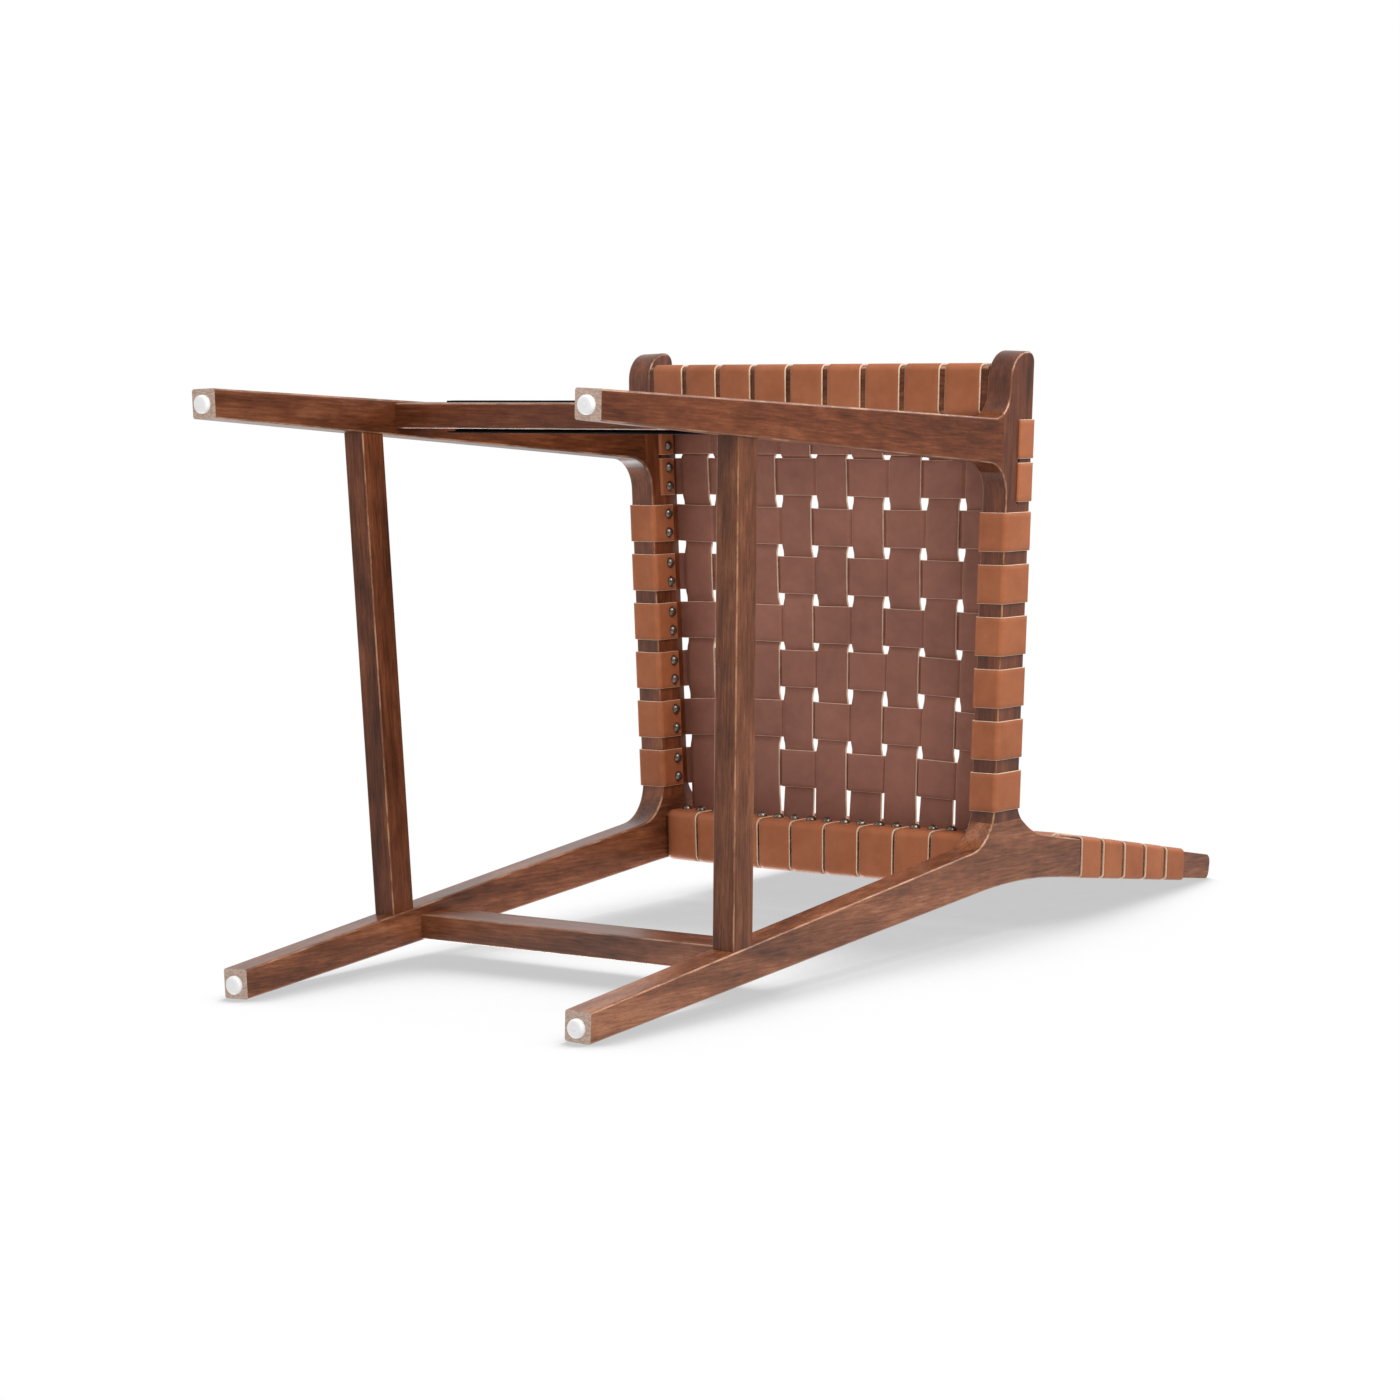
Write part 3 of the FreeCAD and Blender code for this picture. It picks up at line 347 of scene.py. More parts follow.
# ------------------------------------------------------------ strap meshes
CHAMFER = 0.35 * MM
ACROSS = 8                       # faces across the flat of a strap
OUTER, UNDER, EDGE = 0, 1, 2     # material slots of a strap
BULGE = (0.25 * MM, 0.5 * MM)    # how far a strap swells over another, least and most
CROSS_WANDER = 0.5 * MM
LONG_WANDER = 0.6 * MM
WANDER_LENGTH = (0.16, 0.3)      # of one swing to both sides, in metres
CROSS_SETTLE = 30 * MM           # the wander grows over this length from the held ends
LONG_SETTLE = 40 * MM
PULLED = (0.022, 0.042)          # share of its width that a taut long strap loses
WAIST = 0.045                    # and the share lost besides between its crossings


def section():
    """The strap's section as (across, through, face kind), with eased edges."""
    side = STRAP_WIDTH / 2
    flat = side - CHAMFER
    half = THICKNESS / 2
    top = [(-flat + 2 * flat * i / ACROSS, half, OUTER) for i in range(ACROSS)]
    bottom = [(flat - 2 * flat * i / ACROSS, -half, UNDER) for i in range(ACROSS)]
    return (top + [(flat, half, EDGE), (side, half - CHAMFER, EDGE),
                   (side, -half + CHAMFER, EDGE)]
            + bottom + [(-flat, -half, EDGE), (-side, -half + CHAMFER, EDGE),
                        (-side, half - CHAMFER, EDGE)])


def normals_of(points):
    """Unit normals on the left of a line of 2-D points."""
    line = np.array([tuple(p) for p in points])
    along = np.gradient(line, axis=0)
    along /= np.linalg.norm(along, axis=1)[:, None]
    return np.stack([-along[:, 1], along[:, 0]], axis=1)


def bends_of(line):
    """How sharply a line of points turns at each of them, one for a tight wrap."""
    steps = np.diff(line, axis=0)
    length = np.linalg.norm(steps, axis=1)
    heading = np.unwrap(np.arctan2(steps[:, 1], steps[:, 0]))
    turn = np.abs(np.diff(heading)) / (length[1:] + length[:-1]) * 2
    sharpness = np.concatenate([[0], turn, [0]]) * BEND
    return np.clip(sharpness * 1.5 - 0.5, 0, 1)


def build_strap(name, low_edge, high_edge, place, materials):
    """Closed strap mesh between two edge lines. place(a, b, across) is a point in metres."""
    low = np.array([tuple(p) for p in low_edge])
    high = np.array([tuple(p) for p in high_edge])
    normal = normals_of((low + high) / 2)
    ring = section()
    points = []
    for i in range(len(low)):
        for across, through, _ in ring:
            share = across / STRAP_WIDTH + 0.5
            a, b = low[i] + (high[i] - low[i]) * share + normal[i] * through
            points.append(place(a, b, across))
    size = len(ring)
    faces = []
    kinds = []
    for i in range(len(low) - 1):
        for j in range(size):
            k = (j + 1) % size
            faces.append((i * size + j, i * size + k, (i + 1) * size + k, (i + 1) * size + j))
            kinds.append(ring[j][2])
    last = (len(low) - 1) * size
    faces.append(tuple(range(size))[::-1])
    faces.append(tuple(range(last, last + size)))
    kinds += [EDGE, EDGE]
    mesh = bpy.data.meshes.new(name)
    mesh.from_pydata(points, [], faces)
    mesh.polygons.foreach_set("material_index", kinds)
    for material in materials:
        mesh.materials.append(material)
    mesh.shade_smooth()
    mark_sharp(mesh, kinds)
    attribute = mesh.attributes.new("bend", "FLOAT", "POINT")
    attribute.data.foreach_set("value", np.repeat(bends_of(low), size))
    mesh.update()
    piece = bpy.data.objects.new(name, mesh)
    bpy.context.scene.collection.objects.link(piece)
    return piece


def mark_sharp(mesh, kinds):
    """Keeps the edge between the end caps and the strap crisp."""
    caps = {len(kinds) - 2, len(kinds) - 1}
    sharp = set()
    for index in caps:
        sharp.update(tuple(sorted(pair)) for pair in mesh.polygons[index].edge_keys)
    flags = [tuple(sorted(edge.vertices)) in sharp for edge in mesh.edges]
    attribute = mesh.attributes.new("sharp_edge", "BOOLEAN", "EDGE")
    attribute.data.foreach_set("value", flags)


def wander(amount):
    """A slow sideways drift along a strap, as hand-laid leather has."""
    phase = random.uniform(0, math.tau)
    size = random.uniform(0.4, 1) * amount
    length = random.uniform(*WANDER_LENGTH)
    return lambda a: size * math.sin(a / length * math.tau + phase)


def cross_strap(node, panel, y, index, rail, corners_at, depth_at, slip, sag, materials):
    bulge = random.uniform(*BULGE)
    drift = wander(CROSS_WANDER)
    low, counts = cross_path(panel, y, index, rail, corners_at, depth_at, bulge, None)
    high, _ = cross_path(panel, y + STRAP_WIDTH, index, rail, corners_at, depth_at, bulge,
                         counts)
    reach = panel.side_faces(y, 0)[1]

    def place(a, b, across):
        inside = ease((reach - abs(a)) / CROSS_SETTLE) if b > -THICKNESS else 0
        at_y = y + STRAP_WIDTH / 2 + across - panel.drift * b + drift(a) * inside
        at_y -= slip * slipped(a, y)
        return panel.matrix @ Vector((a, at_y, b + sag(a, at_y)))

    return build_strap("leather_" + node, low, high, place, materials)


def long_strap(node, panel, index, rail, crosses, slips, sag, materials):
    bulge = random.uniform(*BULGE)
    drift = wander(LONG_WANDER)
    crossings = [y - slip * slipped(long_x(index, y, rail), y)
                 for y, slip in zip(crosses, slips)]
    path = long_path(index, rail, crossings, bulge)
    first, last = rail["y"]
    pulled = random.uniform(*PULLED)

    def place(a, b, across):
        inside = (ease((a - first - rail["depth"]) / LONG_SETTLE)
                  * ease((last - a) / LONG_SETTLE))
        near = min(abs(a - y - STRAP_WIDTH / 2) for y in crossings)
        waist = WAIST * ease((near - STRAP_WIDTH * 0.4) / (STRAP_WIDTH * 0.3))
        narrow = 1 - (pulled + waist) * inside
        x = long_x(index, a, rail) + across * narrow + drift(a) * inside
        return panel.matrix @ Vector((x, a, b + sag(x, a)))

    return build_strap("leather_" + node, path, path, place, materials)


# ------------------------------------------------------------ solids inside a CAD node
def solids_of(node):
    """Point clouds of the separate solids in a CAD node."""
    mesh = NODES[node].data
    spots = {}
    same = []
    for vertex in mesh.vertices:
        key = tuple(round(c, 6) for c in vertex.co)
        same.append(spots.setdefault(key, len(spots)))
    parent = list(range(len(spots)))

    def root(i):
        while parent[i] != i:
            parent[i] = parent[parent[i]]
            i = parent[i]
        return i

    for edge in mesh.edges:
        a, b = (root(same[v]) for v in edge.vertices)
        parent[a] = b
    clouds = {}
    for key, i in spots.items():
        clouds.setdefault(root(i), []).append(key)
    return [np.array(points) for points in clouds.values()]


def axis_of(cloud):
    """The top of a headed pin, and the direction that its head faces."""
    middle = cloud.mean(axis=0)
    _, _, rows = np.linalg.svd(cloud - middle, full_matrices=False)
    spread = [cloud @ row for row in rows]
    best = max(range(3), key=lambda i: spread[i].max() - spread[i].min())
    axis = rows[best]
    along = (cloud - middle) @ axis
    radial = np.linalg.norm((cloud - middle) - along[:, None] * axis, axis=1)
    if radial[along > 0].max() < radial[along < 0].max():
        axis = -axis
        along = -along
    top = along.max()
    wide = radial > 0.8 * radial.max()
    centre_line = cloud[wide].mean(axis=0)
    centre = centre_line + axis * (top - (centre_line - middle) @ axis)
    return Vector(centre), Vector(axis)


def spot_at(cloud, z):
    """The point at height z in the middle of a solid's box."""
    low, high = cloud.min(axis=0), cloud.max(axis=0)
    return Vector((*(low + high)[:2] / 2, z))


def lathe(profile, steps):
    """Points and faces of a turned shape from (radius, height) pairs, top first."""
    points = []
    faces = []
    for radius, height in profile:
        for j in range(steps):
            angle = math.tau * j / steps
            points.append(Vector((radius * math.cos(angle), radius * math.sin(angle), height)))
    for i in range(len(profile) - 1):
        for j in range(steps):
            k = (j + 1) % steps
            faces.append((i * steps + j, (i + 1) * steps + j, (i + 1) * steps + k,
                          i * steps + k))
    faces.append(tuple(range(steps)))
    last = (len(profile) - 1) * steps
    faces.append(tuple(range(last, last + steps))[::-1])
    return points, faces


def merged(name, shapes, material):
    """One mesh object from many (points, faces) shapes."""
    points = []
    faces = []
    for shape_points, shape_faces in shapes:
        offset = len(points)
        points += shape_points
        faces += [tuple(i + offset for i in face) for face in shape_faces]
    mesh = bpy.data.meshes.new(name)
    mesh.from_pydata(points, [], faces)
    mesh.materials.append(material)
    mesh.shade_smooth()
    mesh.update()
    piece = bpy.data.objects.new(name, mesh)
    bpy.context.scene.collection.objects.link(piece)
    return piece


NAIL_RADIUS = 5.5 * MM
NAIL_HEIGHT = 4.6 * MM
NAIL_STEPS = 10                  # rings of the dome
SHANK_RADIUS = 1.1 * MM
SHANK_LENGTH = 6 * MM            # only a stub: the leather and the wood hide the shank
DENT_DEPTH = 0.35 * MM
DENT_SIZE = 2 * MM


def nail_head():
    """Profile of a domed upholstery nail with a rolled rim, its top at z = 0."""
    radius, height = NAIL_RADIUS, NAIL_HEIGHT
    sphere = (radius * radius + height * height) / (2 * height)
    widest = math.asin(min(1, radius / sphere))
    profile = []
    for i in range(1, NAIL_STEPS + 1):
        angle = widest * i / NAIL_STEPS
        profile.append((sphere * math.sin(angle), sphere * (math.cos(angle) - 1)))
    profile += [(radius - 0.2 * MM, -height - 0.1 * MM), (SHANK_RADIUS, -height),
                (SHANK_RADIUS, -height - SHANK_LENGTH)]
    return [(0.25 * MM, 0)] + profile


def nails(node, material):
    """The nails of a CAD node, each turned and dented in its own way."""
    shapes = []
    for cloud in solids_of(node):
        top, axis = axis_of(cloud)
        turn = axis.to_track_quat("Z", "Y").to_matrix()
        spin = Matrix.Rotation(random.uniform(0, math.tau), 3, "Z")
        points, faces = lathe(nail_head(), 24)
        dent = Vector((random.uniform(-1, 1), random.uniform(-1, 1), 0)).normalized()
        placed = []
        for point in points:
            away = (point.xy - dent.xy * DENT_SIZE).length / DENT_SIZE
            flatten = DENT_DEPTH * math.exp(-away ** 2)
            lowered = Vector((point.x, point.y, point.z - flatten))
            placed.append(top + turn @ (spin @ lowered))
        shapes.append((placed, faces))
    piece = merged("heads_" + node, shapes, material)
    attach(piece, "root")
    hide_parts(node)


# Turned outline of a glide in mm, as (radius, height) from the top of its pin to its sole
GLIDE_PROFILE = [(1.2, 8), (1.2, 0), (8.5, 0), (8.5, -1.8), (8.42, -3.4), (8.05, -4.6),
                 (7.3, -5.4), (6.2, -5.85), (3.2, -5.95), (2.6, -5.75), (2.2, -6), (0.3, -6)]


def glides(node, material):
    """Turned nylon feet with a shallow ring in the sole."""
    shapes = []
    for cloud in solids_of(node):
        spot = spot_at(cloud, cloud[:, 2].min() + GLIDE_HEIGHT)
        points, faces = lathe([(r * MM, z * MM) for r, z in GLIDE_PROFILE], 48)
        shapes.append(([spot + point for point in points], faces))
    piece = merged("turned_" + node, shapes, material)
    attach(piece, "root")
    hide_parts(node)


SCREW_RADIUS = 3.5 * MM
SCREW_RINGS = 14
SCREW_STEPS = 64
SCREW_PROUD = 0.15 * MM          # the head stands this far out of the plate
SCREW_NECK = (1.7 * MM, -1.8 * MM)   # radius and height of the head's hidden lower end
RECESS_HALF_WIDTH = 0.45 * MM
RECESS_REACH = 2 * MM
RECESS_DEPTH = 1.1 * MM
RECESS_FADE = 2.6 * MM           # the recess would run out at this radius


def recess_depth(r, angle):
    """How deep the cross recess is at a point of a screw's head."""
    x, y = r * math.cos(angle), r * math.sin(angle)
    arm = min(abs(x), abs(y)) < RECESS_HALF_WIDTH and max(abs(x), abs(y)) < RECESS_REACH
    return max(RECESS_DEPTH * (1 - r / RECESS_FADE), 0) if arm else 0


def screw_heads(node, material):
    """Countersunk heads with a cross recess, nearly flush with the plate."""
    profile = [(SCREW_RADIUS * max(i, 0.05) / SCREW_RINGS, SCREW_PROUD)
               for i in range(SCREW_RINGS + 1)]
    shapes = []
    for cloud in solids_of(node):
        spot = spot_at(cloud, cloud[:, 2].max())
        turn = random.uniform(0, math.tau)
        points, faces = lathe(profile + [SCREW_NECK], SCREW_STEPS)
        for i, (r, _) in enumerate(profile):
            for j in range(SCREW_STEPS):
                angle = math.tau * j / SCREW_STEPS - turn
                points[i * SCREW_STEPS + j].z -= recess_depth(r, angle)
        shapes.append(([spot + point for point in points], faces))
    piece = merged("heads_" + node, shapes, material)
    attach(piece, "root")
    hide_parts(node)


# ------------------------------------------------------------ materials
class Graph:
    """Short way to write nodes."""

    def __init__(self, node_tree):
        self.nodes = node_tree.nodes
        self.links = node_tree.links

    def add(self, kind, inputs=(), **settings):
        made = self.nodes.new(kind)
        for key, value in settings.items():
            setattr(made, key, value)
        for key, value in dict(inputs).items():
            self.put(made.inputs[key], value)
        return made

    def put(self, socket, value):
        if isinstance(value, bpy.types.NodeSocket):
            self.links.new(value, socket)
        else:
            socket.default_value = value

    def math(self, operation, a, b=0.0, c=0.0):
        made = self.add("ShaderNodeMath", operation=operation)
        for socket, value in zip(made.inputs, (a, b, c)):
            self.put(socket, value)
        return made.outputs[0]


class Tree(Graph):
    """A material with one shader, and short ways to write its textures."""

    def __init__(self, name):
        self.material = bpy.data.materials.new(name)
        self.material.use_nodes = True
        super().__init__(self.material.node_tree)
        self.nodes.clear()
        self.shader = self.add("ShaderNodeBsdfPrincipled")
        self.surface = self.add("ShaderNodeOutputMaterial").inputs["Surface"]
        self.put(self.surface, self.shader.outputs[0])
        self.coords = self.add("ShaderNodeTexCoord")

    def scaled(self, vector, scale, turn=(0, 0, 0), move=(0, 0, 0)):
        return self.add("ShaderNodeMapping", {"Vector": vector, "Scale": scale,
                                              "Rotation": turn, "Location": move}).outputs[0]

    def noise(self, vector, scale, detail=3.0, roughness=0.55, distortion=0.0):
        made = self.add("ShaderNodeTexNoise", {"Vector": vector, "Scale": scale,
                                               "Detail": detail, "Roughness": roughness,
                                               "Distortion": distortion})
        return made.outputs["Fac"]

    def ramp(self, value, stops):
        made = self.add("ShaderNodeValToRGB", {"Fac": value})
        elements = made.color_ramp.elements
        while len(elements) < len(stops):
            elements.new(0.5)
        for element, (position, colour) in zip(elements, stops):
            element.position = position
            element.color = (*colour, 1)
        return made.outputs["Color"]

    def fade(self, value, low, high):
        return self.add("ShaderNodeMapRange", {"Value": value, "From Min": low,
                                               "From Max": high},
                        interpolation_type="SMOOTHSTEP").outputs[0]

    def mix(self, factor, a, b, blend="MIX"):
        made = self.add("ShaderNodeMix", data_type="RGBA", blend_type=blend)
        self.put(made.inputs["Factor"], factor)
        self.put(made.inputs[6], a)
        self.put(made.inputs[7], b)
        return made.outputs[2]

    def bump(self, height, strength, distance):
        made = self.add("ShaderNodeBump", {"Height": height, "Strength": strength,
                                           "Distance": distance})
        self.put(self.shader.inputs["Normal"], made.outputs[0])

    def finish(self, colour, roughness, **sockets):
        self.put(self.shader.inputs["Base Color"], colour)
        self.put(self.shader.inputs["Roughness"], roughness)
        for key, value in sockets.items():
            self.put(self.shader.inputs[key.replace("_", " ")], value)
        return self.material


WOOD_STOPS = [(0.37, (0.045, 0.0115, 0.0045)), (0.46, (0.105, 0.029, 0.0105)),
              (0.53, (0.165, 0.048, 0.0185)), (0.63, (0.27, 0.094, 0.041))]
PORE_WOOD = (0.045, 0.014, 0.007, 1)
# paler eased edges: wear where the staining thinned, and a painted highlight along them
WEAR_AND_HIGHLIGHT_WOOD = (0.62, 0.33, 0.19, 1)
RAW_WOOD = (0.7, 0.52, 0.42, 1)
RAW_RING = (0.46, 0.32, 0.25, 1)
RELIEF = 0.2 * MM                # the bumps of all materials but the cut edge


def wood(name, grain, side, stain_and_light=(1, 1, 1), polish=0.28):
    """Stained wood with its grain along one direction. side is a flat face's direction:
    the eased edges lie between it and the other faces, and show paler: partly wear, where
    the staining has thinned, and partly a painted highlight along the edges. The soles of
    the legs are raw. The colour factor multiplies the colour: each board's own staining,
    and painted light and shade that lighten or darken the part, with a grey painted sheen
    where the factor's blue runs highest. polish sets how strongly the surface shines."""
    tree = Tree(name)
    turn = Vector(grain).rotation_difference(Vector((1, 0, 0))).to_euler()
    offset = tuple(random.uniform(0, 3) for _ in range(3))
    place = tree.scaled(tree.coords.outputs["Object"], (1, 1, 1), turn, offset)
    figure = tree.noise(tree.scaled(place, (3.5, 26, 26)), 1.0, 5, 0.6, 0.9)
    mottle = tree.noise(tree.scaled(place, (28, 60, 60)), 1.0, 4, 0.6, 0.3)
    streak = tree.noise(tree.scaled(place, (30, 480, 480)), 1.0, 3, 0.65)
    pores = tree.noise(tree.scaled(place, (120, 1500, 1500)), 1.0, 2, 0.5)
    tone = tree.math("MULTIPLY_ADD", figure, 0.5, tree.math("MULTIPLY", mottle, 0.2))
    tone = tree.math("MULTIPLY_ADD", streak, 0.3, tone)
    # the colour factor paints light and shade too: lighter or darker parts, and a grey painted
    # sheen where its blue is high
    colour = tree.mix(1.0, tree.ramp(tone, WOOD_STOPS), (*stain_and_light, 1), "MULTIPLY")
    pore = tree.fade(pores, 0.4, 0.3)
    colour = tree.mix(tree.math("MULTIPLY", pore, 0.55), colour, PORE_WOOD)
    facing = tree.add("ShaderNodeVectorMath", {0: tree.coords.outputs["Normal"], 1: side},
                      operation="DOT_PRODUCT").outputs["Value"]
    facing = tree.math("ABSOLUTE", facing)
    rest = tree.math("SQRT", tree.math("SUBTRACT", 1.0, tree.math("MULTIPLY", facing, facing)))
    # the eased edges turn paler: partly wear, partly a painted highlight along the rounded
    # edges
    edge = tree.fade(tree.math("MINIMUM", facing, rest), 0.2, 0.6)
    broken = tree.fade(tree.noise(tree.scaled(place, (22, 90, 90)), 1.0, 4, 0.7), 0.42, 0.62)
    wear_and_highlight = tree.math("MULTIPLY", edge, tree.math("MULTIPLY_ADD", broken, 0.62, 0.18))
    colour = tree.mix(wear_and_highlight, colour, WEAR_AND_HIGHLIGHT_WOOD)
    split = tree.add("ShaderNodeSeparateXYZ", {0: tree.coords.outputs["Object"]})
    down = tree.add("ShaderNodeSeparateXYZ", {0: tree.coords.outputs["Normal"]})
    foot = tree.math("MULTIPLY", tree.fade(split.outputs[2], 0.0085, 0.0065),
                     tree.fade(down.outputs[2], -0.5, -0.85))
    rings = tree.noise(tree.scaled(tree.coords.outputs["Object"], (300, 900, 60)), 1.0, 4)
    raw = tree.mix(tree.fade(rings, 0.35, 0.7), RAW_WOOD, RAW_RING)
    colour = tree.mix(foot, colour, raw)
    gloss = tree.math("MULTIPLY_ADD", mottle, 0.2, 0.22)
    gloss = tree.math("MULTIPLY_ADD", foot, 0.35, gloss)
    height = tree.math("MULTIPLY_ADD", streak, 0.35, tree.math("MULTIPLY", pore, -0.12))
    tree.bump(height, 0.14, RELIEF)
    return tree.finish(colour, gloss, Specular_IOR_Level=polish, Coat_Weight=polish * 0.3,
                       Coat_Roughness=0.2)


def leather(name, colours, gloss, grain_size, relief):
    """Smooth strap leather: slow colour drift and fine pebbling, and paler patches where the
    strap turns sharply: partly the lighter stretched leather of the bend, partly a painted
    highlight along it."""
    tree = Tree(name)
    place = tree.coords.outputs["Object"]
    drift = tree.noise(place, 11, 4, 0.6, 0.4)
    cloud = tree.noise(place, 70, 4, 0.65)
    tone = tree.math("MULTIPLY_ADD", drift, 0.7, tree.math("MULTIPLY", cloud, 0.3))
    colour = tree.ramp(tone, [(0.32, colours[0]), (0.5, colours[1]), (0.68, colours[2])])
    pebble = tree.add("ShaderNodeTexVoronoi", {"Vector": place, "Scale": grain_size},
                      feature="SMOOTH_F1").outputs["Distance"]
    fine = tree.noise(place, grain_size * 2.2, 2)
    colour = tree.mix(tree.math("MULTIPLY", tree.fade(pebble, 0.45, 0.9), 0.12), colour,
                      (*[c * 0.55 for c in colours[0]], 1))
    bend = tree.add("ShaderNodeAttribute", attribute_name="bend").outputs["Fac"]
    # paler where the strap bends sharply: stretched leather, and a painted highlight along the
    # bend
    stretch_and_highlight = tree.math("MULTIPLY", bend, tree.math("MULTIPLY_ADD", cloud, 0.16, 0.0))
    colour = tree.mix(stretch_and_highlight, colour, (*[min(1, c * 1.9 + 0.02) for c in colours[2]], 1))
    height = tree.math("MULTIPLY_ADD", fine, 0.4, tree.math("MULTIPLY", pebble, -0.6))
    height = tree.math("MULTIPLY_ADD", cloud, 1.2, height)
    tree.bump(height, relief, RELIEF)
    rough = tree.math("MULTIPLY_ADD", cloud, 0.14, gloss)
    return tree.finish(colour, rough, Specular_IOR_Level=0.28)


def cut_edge():
    """Undyed cut edge of the straps, with packed fibres along the cut."""
    tree = Tree("leather_cut_edge")
    place = tree.coords.outputs["Object"]
    fibre = tree.noise(tree.scaled(place, (900, 900, 900)), 1.0, 3, 0.7)
    patch = tree.noise(place, 60, 3)
    tone = tree.math("MULTIPLY_ADD", fibre, 0.5, tree.math("MULTIPLY", patch, 0.5))
    colour = tree.ramp(tone, [(0.3, (0.6, 0.4, 0.26)), (0.5, (0.83, 0.63, 0.46)),
                              (0.7, (0.9, 0.74, 0.58))])
    tree.bump(fibre, 0.3, 0.3 * MM)
    return tree.finish(colour, tree.math("MULTIPLY_ADD", fibre, 0.2, 0.6))


def metal(name, colours, rough, metallic, wear):
    """Metal with patina in patches and specks."""
    tree = Tree(name)
    place = tree.coords.outputs["Object"]
    patch = tree.noise(place, 260, 4, 0.65)
    speck = tree.noise(place, 1900, 3, 0.6)
    tone = tree.math("MULTIPLY_ADD", patch, 0.7, tree.math("MULTIPLY", speck, 0.3))
    colour = tree.ramp(tone, [(0.35, colours[0]), (0.62, colours[1])])
    tree.bump(tone, wear, RELIEF)
    return tree.finish(colour, tree.math("MULTIPLY_ADD", patch, 0.2, rough),
                       Metallic=metallic)


def nylon():
    """White nylon with scuffs. Its slight glow stands for light that passes through it."""
    tree = Tree("glide_nylon_white")
    place = tree.coords.outputs["Object"]
    haze = tree.noise(place, 90, 3)
    scuff = tree.noise(tree.scaled(place, (500, 120, 500)), 1.0, 3, 0.7)
    colour = tree.ramp(haze, [(0.3, (0.9, 0.9, 0.9)), (0.7, (0.97, 0.97, 0.97))])
    tree.bump(scuff, 0.12, RELIEF)
    return tree.finish(colour, tree.math("MULTIPLY_ADD", scuff, 0.2, 0.32),
                       Emission_Color=colour, Emission_Strength=0.1)


def plate_paint():
    """Satin black paint, with marks of rubbing along the plate."""
    tree = Tree("plate_black_paint")
    place = tree.coords.outputs["Object"]
    peel = tree.noise(place, 420, 3, 0.6)
    rub = tree.noise(tree.scaled(place, (40, 700, 700)), 1.0, 4, 0.7)
    colour = tree.ramp(rub, [(0.45, (0.008, 0.008, 0.009)), (0.75, (0.028, 0.027, 0.027))])
    tree.bump(peel, 0.15, RELIEF)
    return tree.finish(colour, tree.math("MULTIPLY_ADD", rub, 0.2, 0.42),
                       Specular_IOR_Level=0.08)


# ------------------------------------------------------------ dressing the CAD's own pieces
def dress(node, material):
    """Gives a CAD piece its one material."""
    data = NODES[node].data
    data.materials.clear()
    data.materials.append(material)


# Every board was stained and polished a little differently. The colour factors also paint
# light and shade: they make each part lighter or darker by how the light falls on it, and
# the bluer factors, most of all on the rear legs and the rear stretcher, paint a grey sheen
STAIN_AND_LIGHT = {"front_leg_left": ((1.08, 0.97, 0.82), 0.24),
          "front_leg_right": ((0.85, 0.82, 0.76), 0.2),
          "rear_leg_left": ((1.68, 1.95, 2.15), 0.42),
          "rear_leg_right": ((1.45, 1.6, 1.72), 0.38),
          "side_rail_left": ((0.86, 0.72, 0.56), 0.42),
          "side_rail_right": ((1.2, 1.1, 0.9), 0.45),
          "side_stretcher_left": ((1.15, 1.25, 1.3), 0.28),
          "side_stretcher_right": ((1.05, 1.02, 0.95), 0.22),
          "front_stretcher": ((1.1, 1.07, 1.1), 0.25),
          "rear_stretcher": ((1.45, 1.6, 1.75), 0.5)}
RAIL_STAIN = ((1.1, 1.1, 1.1), 0.25)     # the rails that the long straps wrap


def wooden_frame():
    upright = (0, 0.03, 1)
    seat_normal = (0, -SEAT_SLOPE, 1)
    back_normal = (0, -math.cos(BACK_LEAN), math.sin(BACK_LEAN))
    for name, sign in (("left", 1), ("right", -1)):
        side = (1, sign * TOE_IN, 0)
        along = (-sign * TOE_IN, 1, SEAT_SLOPE)
        grains = {"front_leg": (0, 0.0785, 1), "rear_leg": upright, "side_rail": along,
                  "side_stretcher": (-sign * TOE_IN, 1, 0.02)}
        for part, grain in grains.items():
            node = f"{part}_{name}"
            stain_and_light, polish = STAIN_AND_LIGHT[node]
            dress(node, wood("stain_" + node, grain, Vector(side).normalized(), stain_and_light,
                             polish))
    sides = {"front_seat_rail": seat_normal, "rear_seat_rail": seat_normal,
             "lower_back_rail": back_normal, "top_back_rail": back_normal,
             "front_stretcher": (0, 0, 1), "rear_stretcher": (0, 0, 1)}
    for node, side in sides.items():
        stain_and_light, polish = STAIN_AND_LIGHT.get(node, RAIL_STAIN)
        dress(node, wood("stain_" + node, (1, 0, 0), side, stain_and_light, polish))
    beech = Tree("raw_beech")
    place = beech.coords.outputs["Object"]
    grain = beech.noise(beech.scaled(place, (300, 300, 300)), 1.0, 3)
    beech.finish(beech.ramp(grain, [(0.3, (0.5, 0.34, 0.2)), (0.7, (0.66, 0.49, 0.32))]), 0.6)
    for node in ("side_frame_dowels", "stretcher_dowels", "seat_rail_dowels",
                 "back_rail_dowels"):
        dress(node, beech.material)


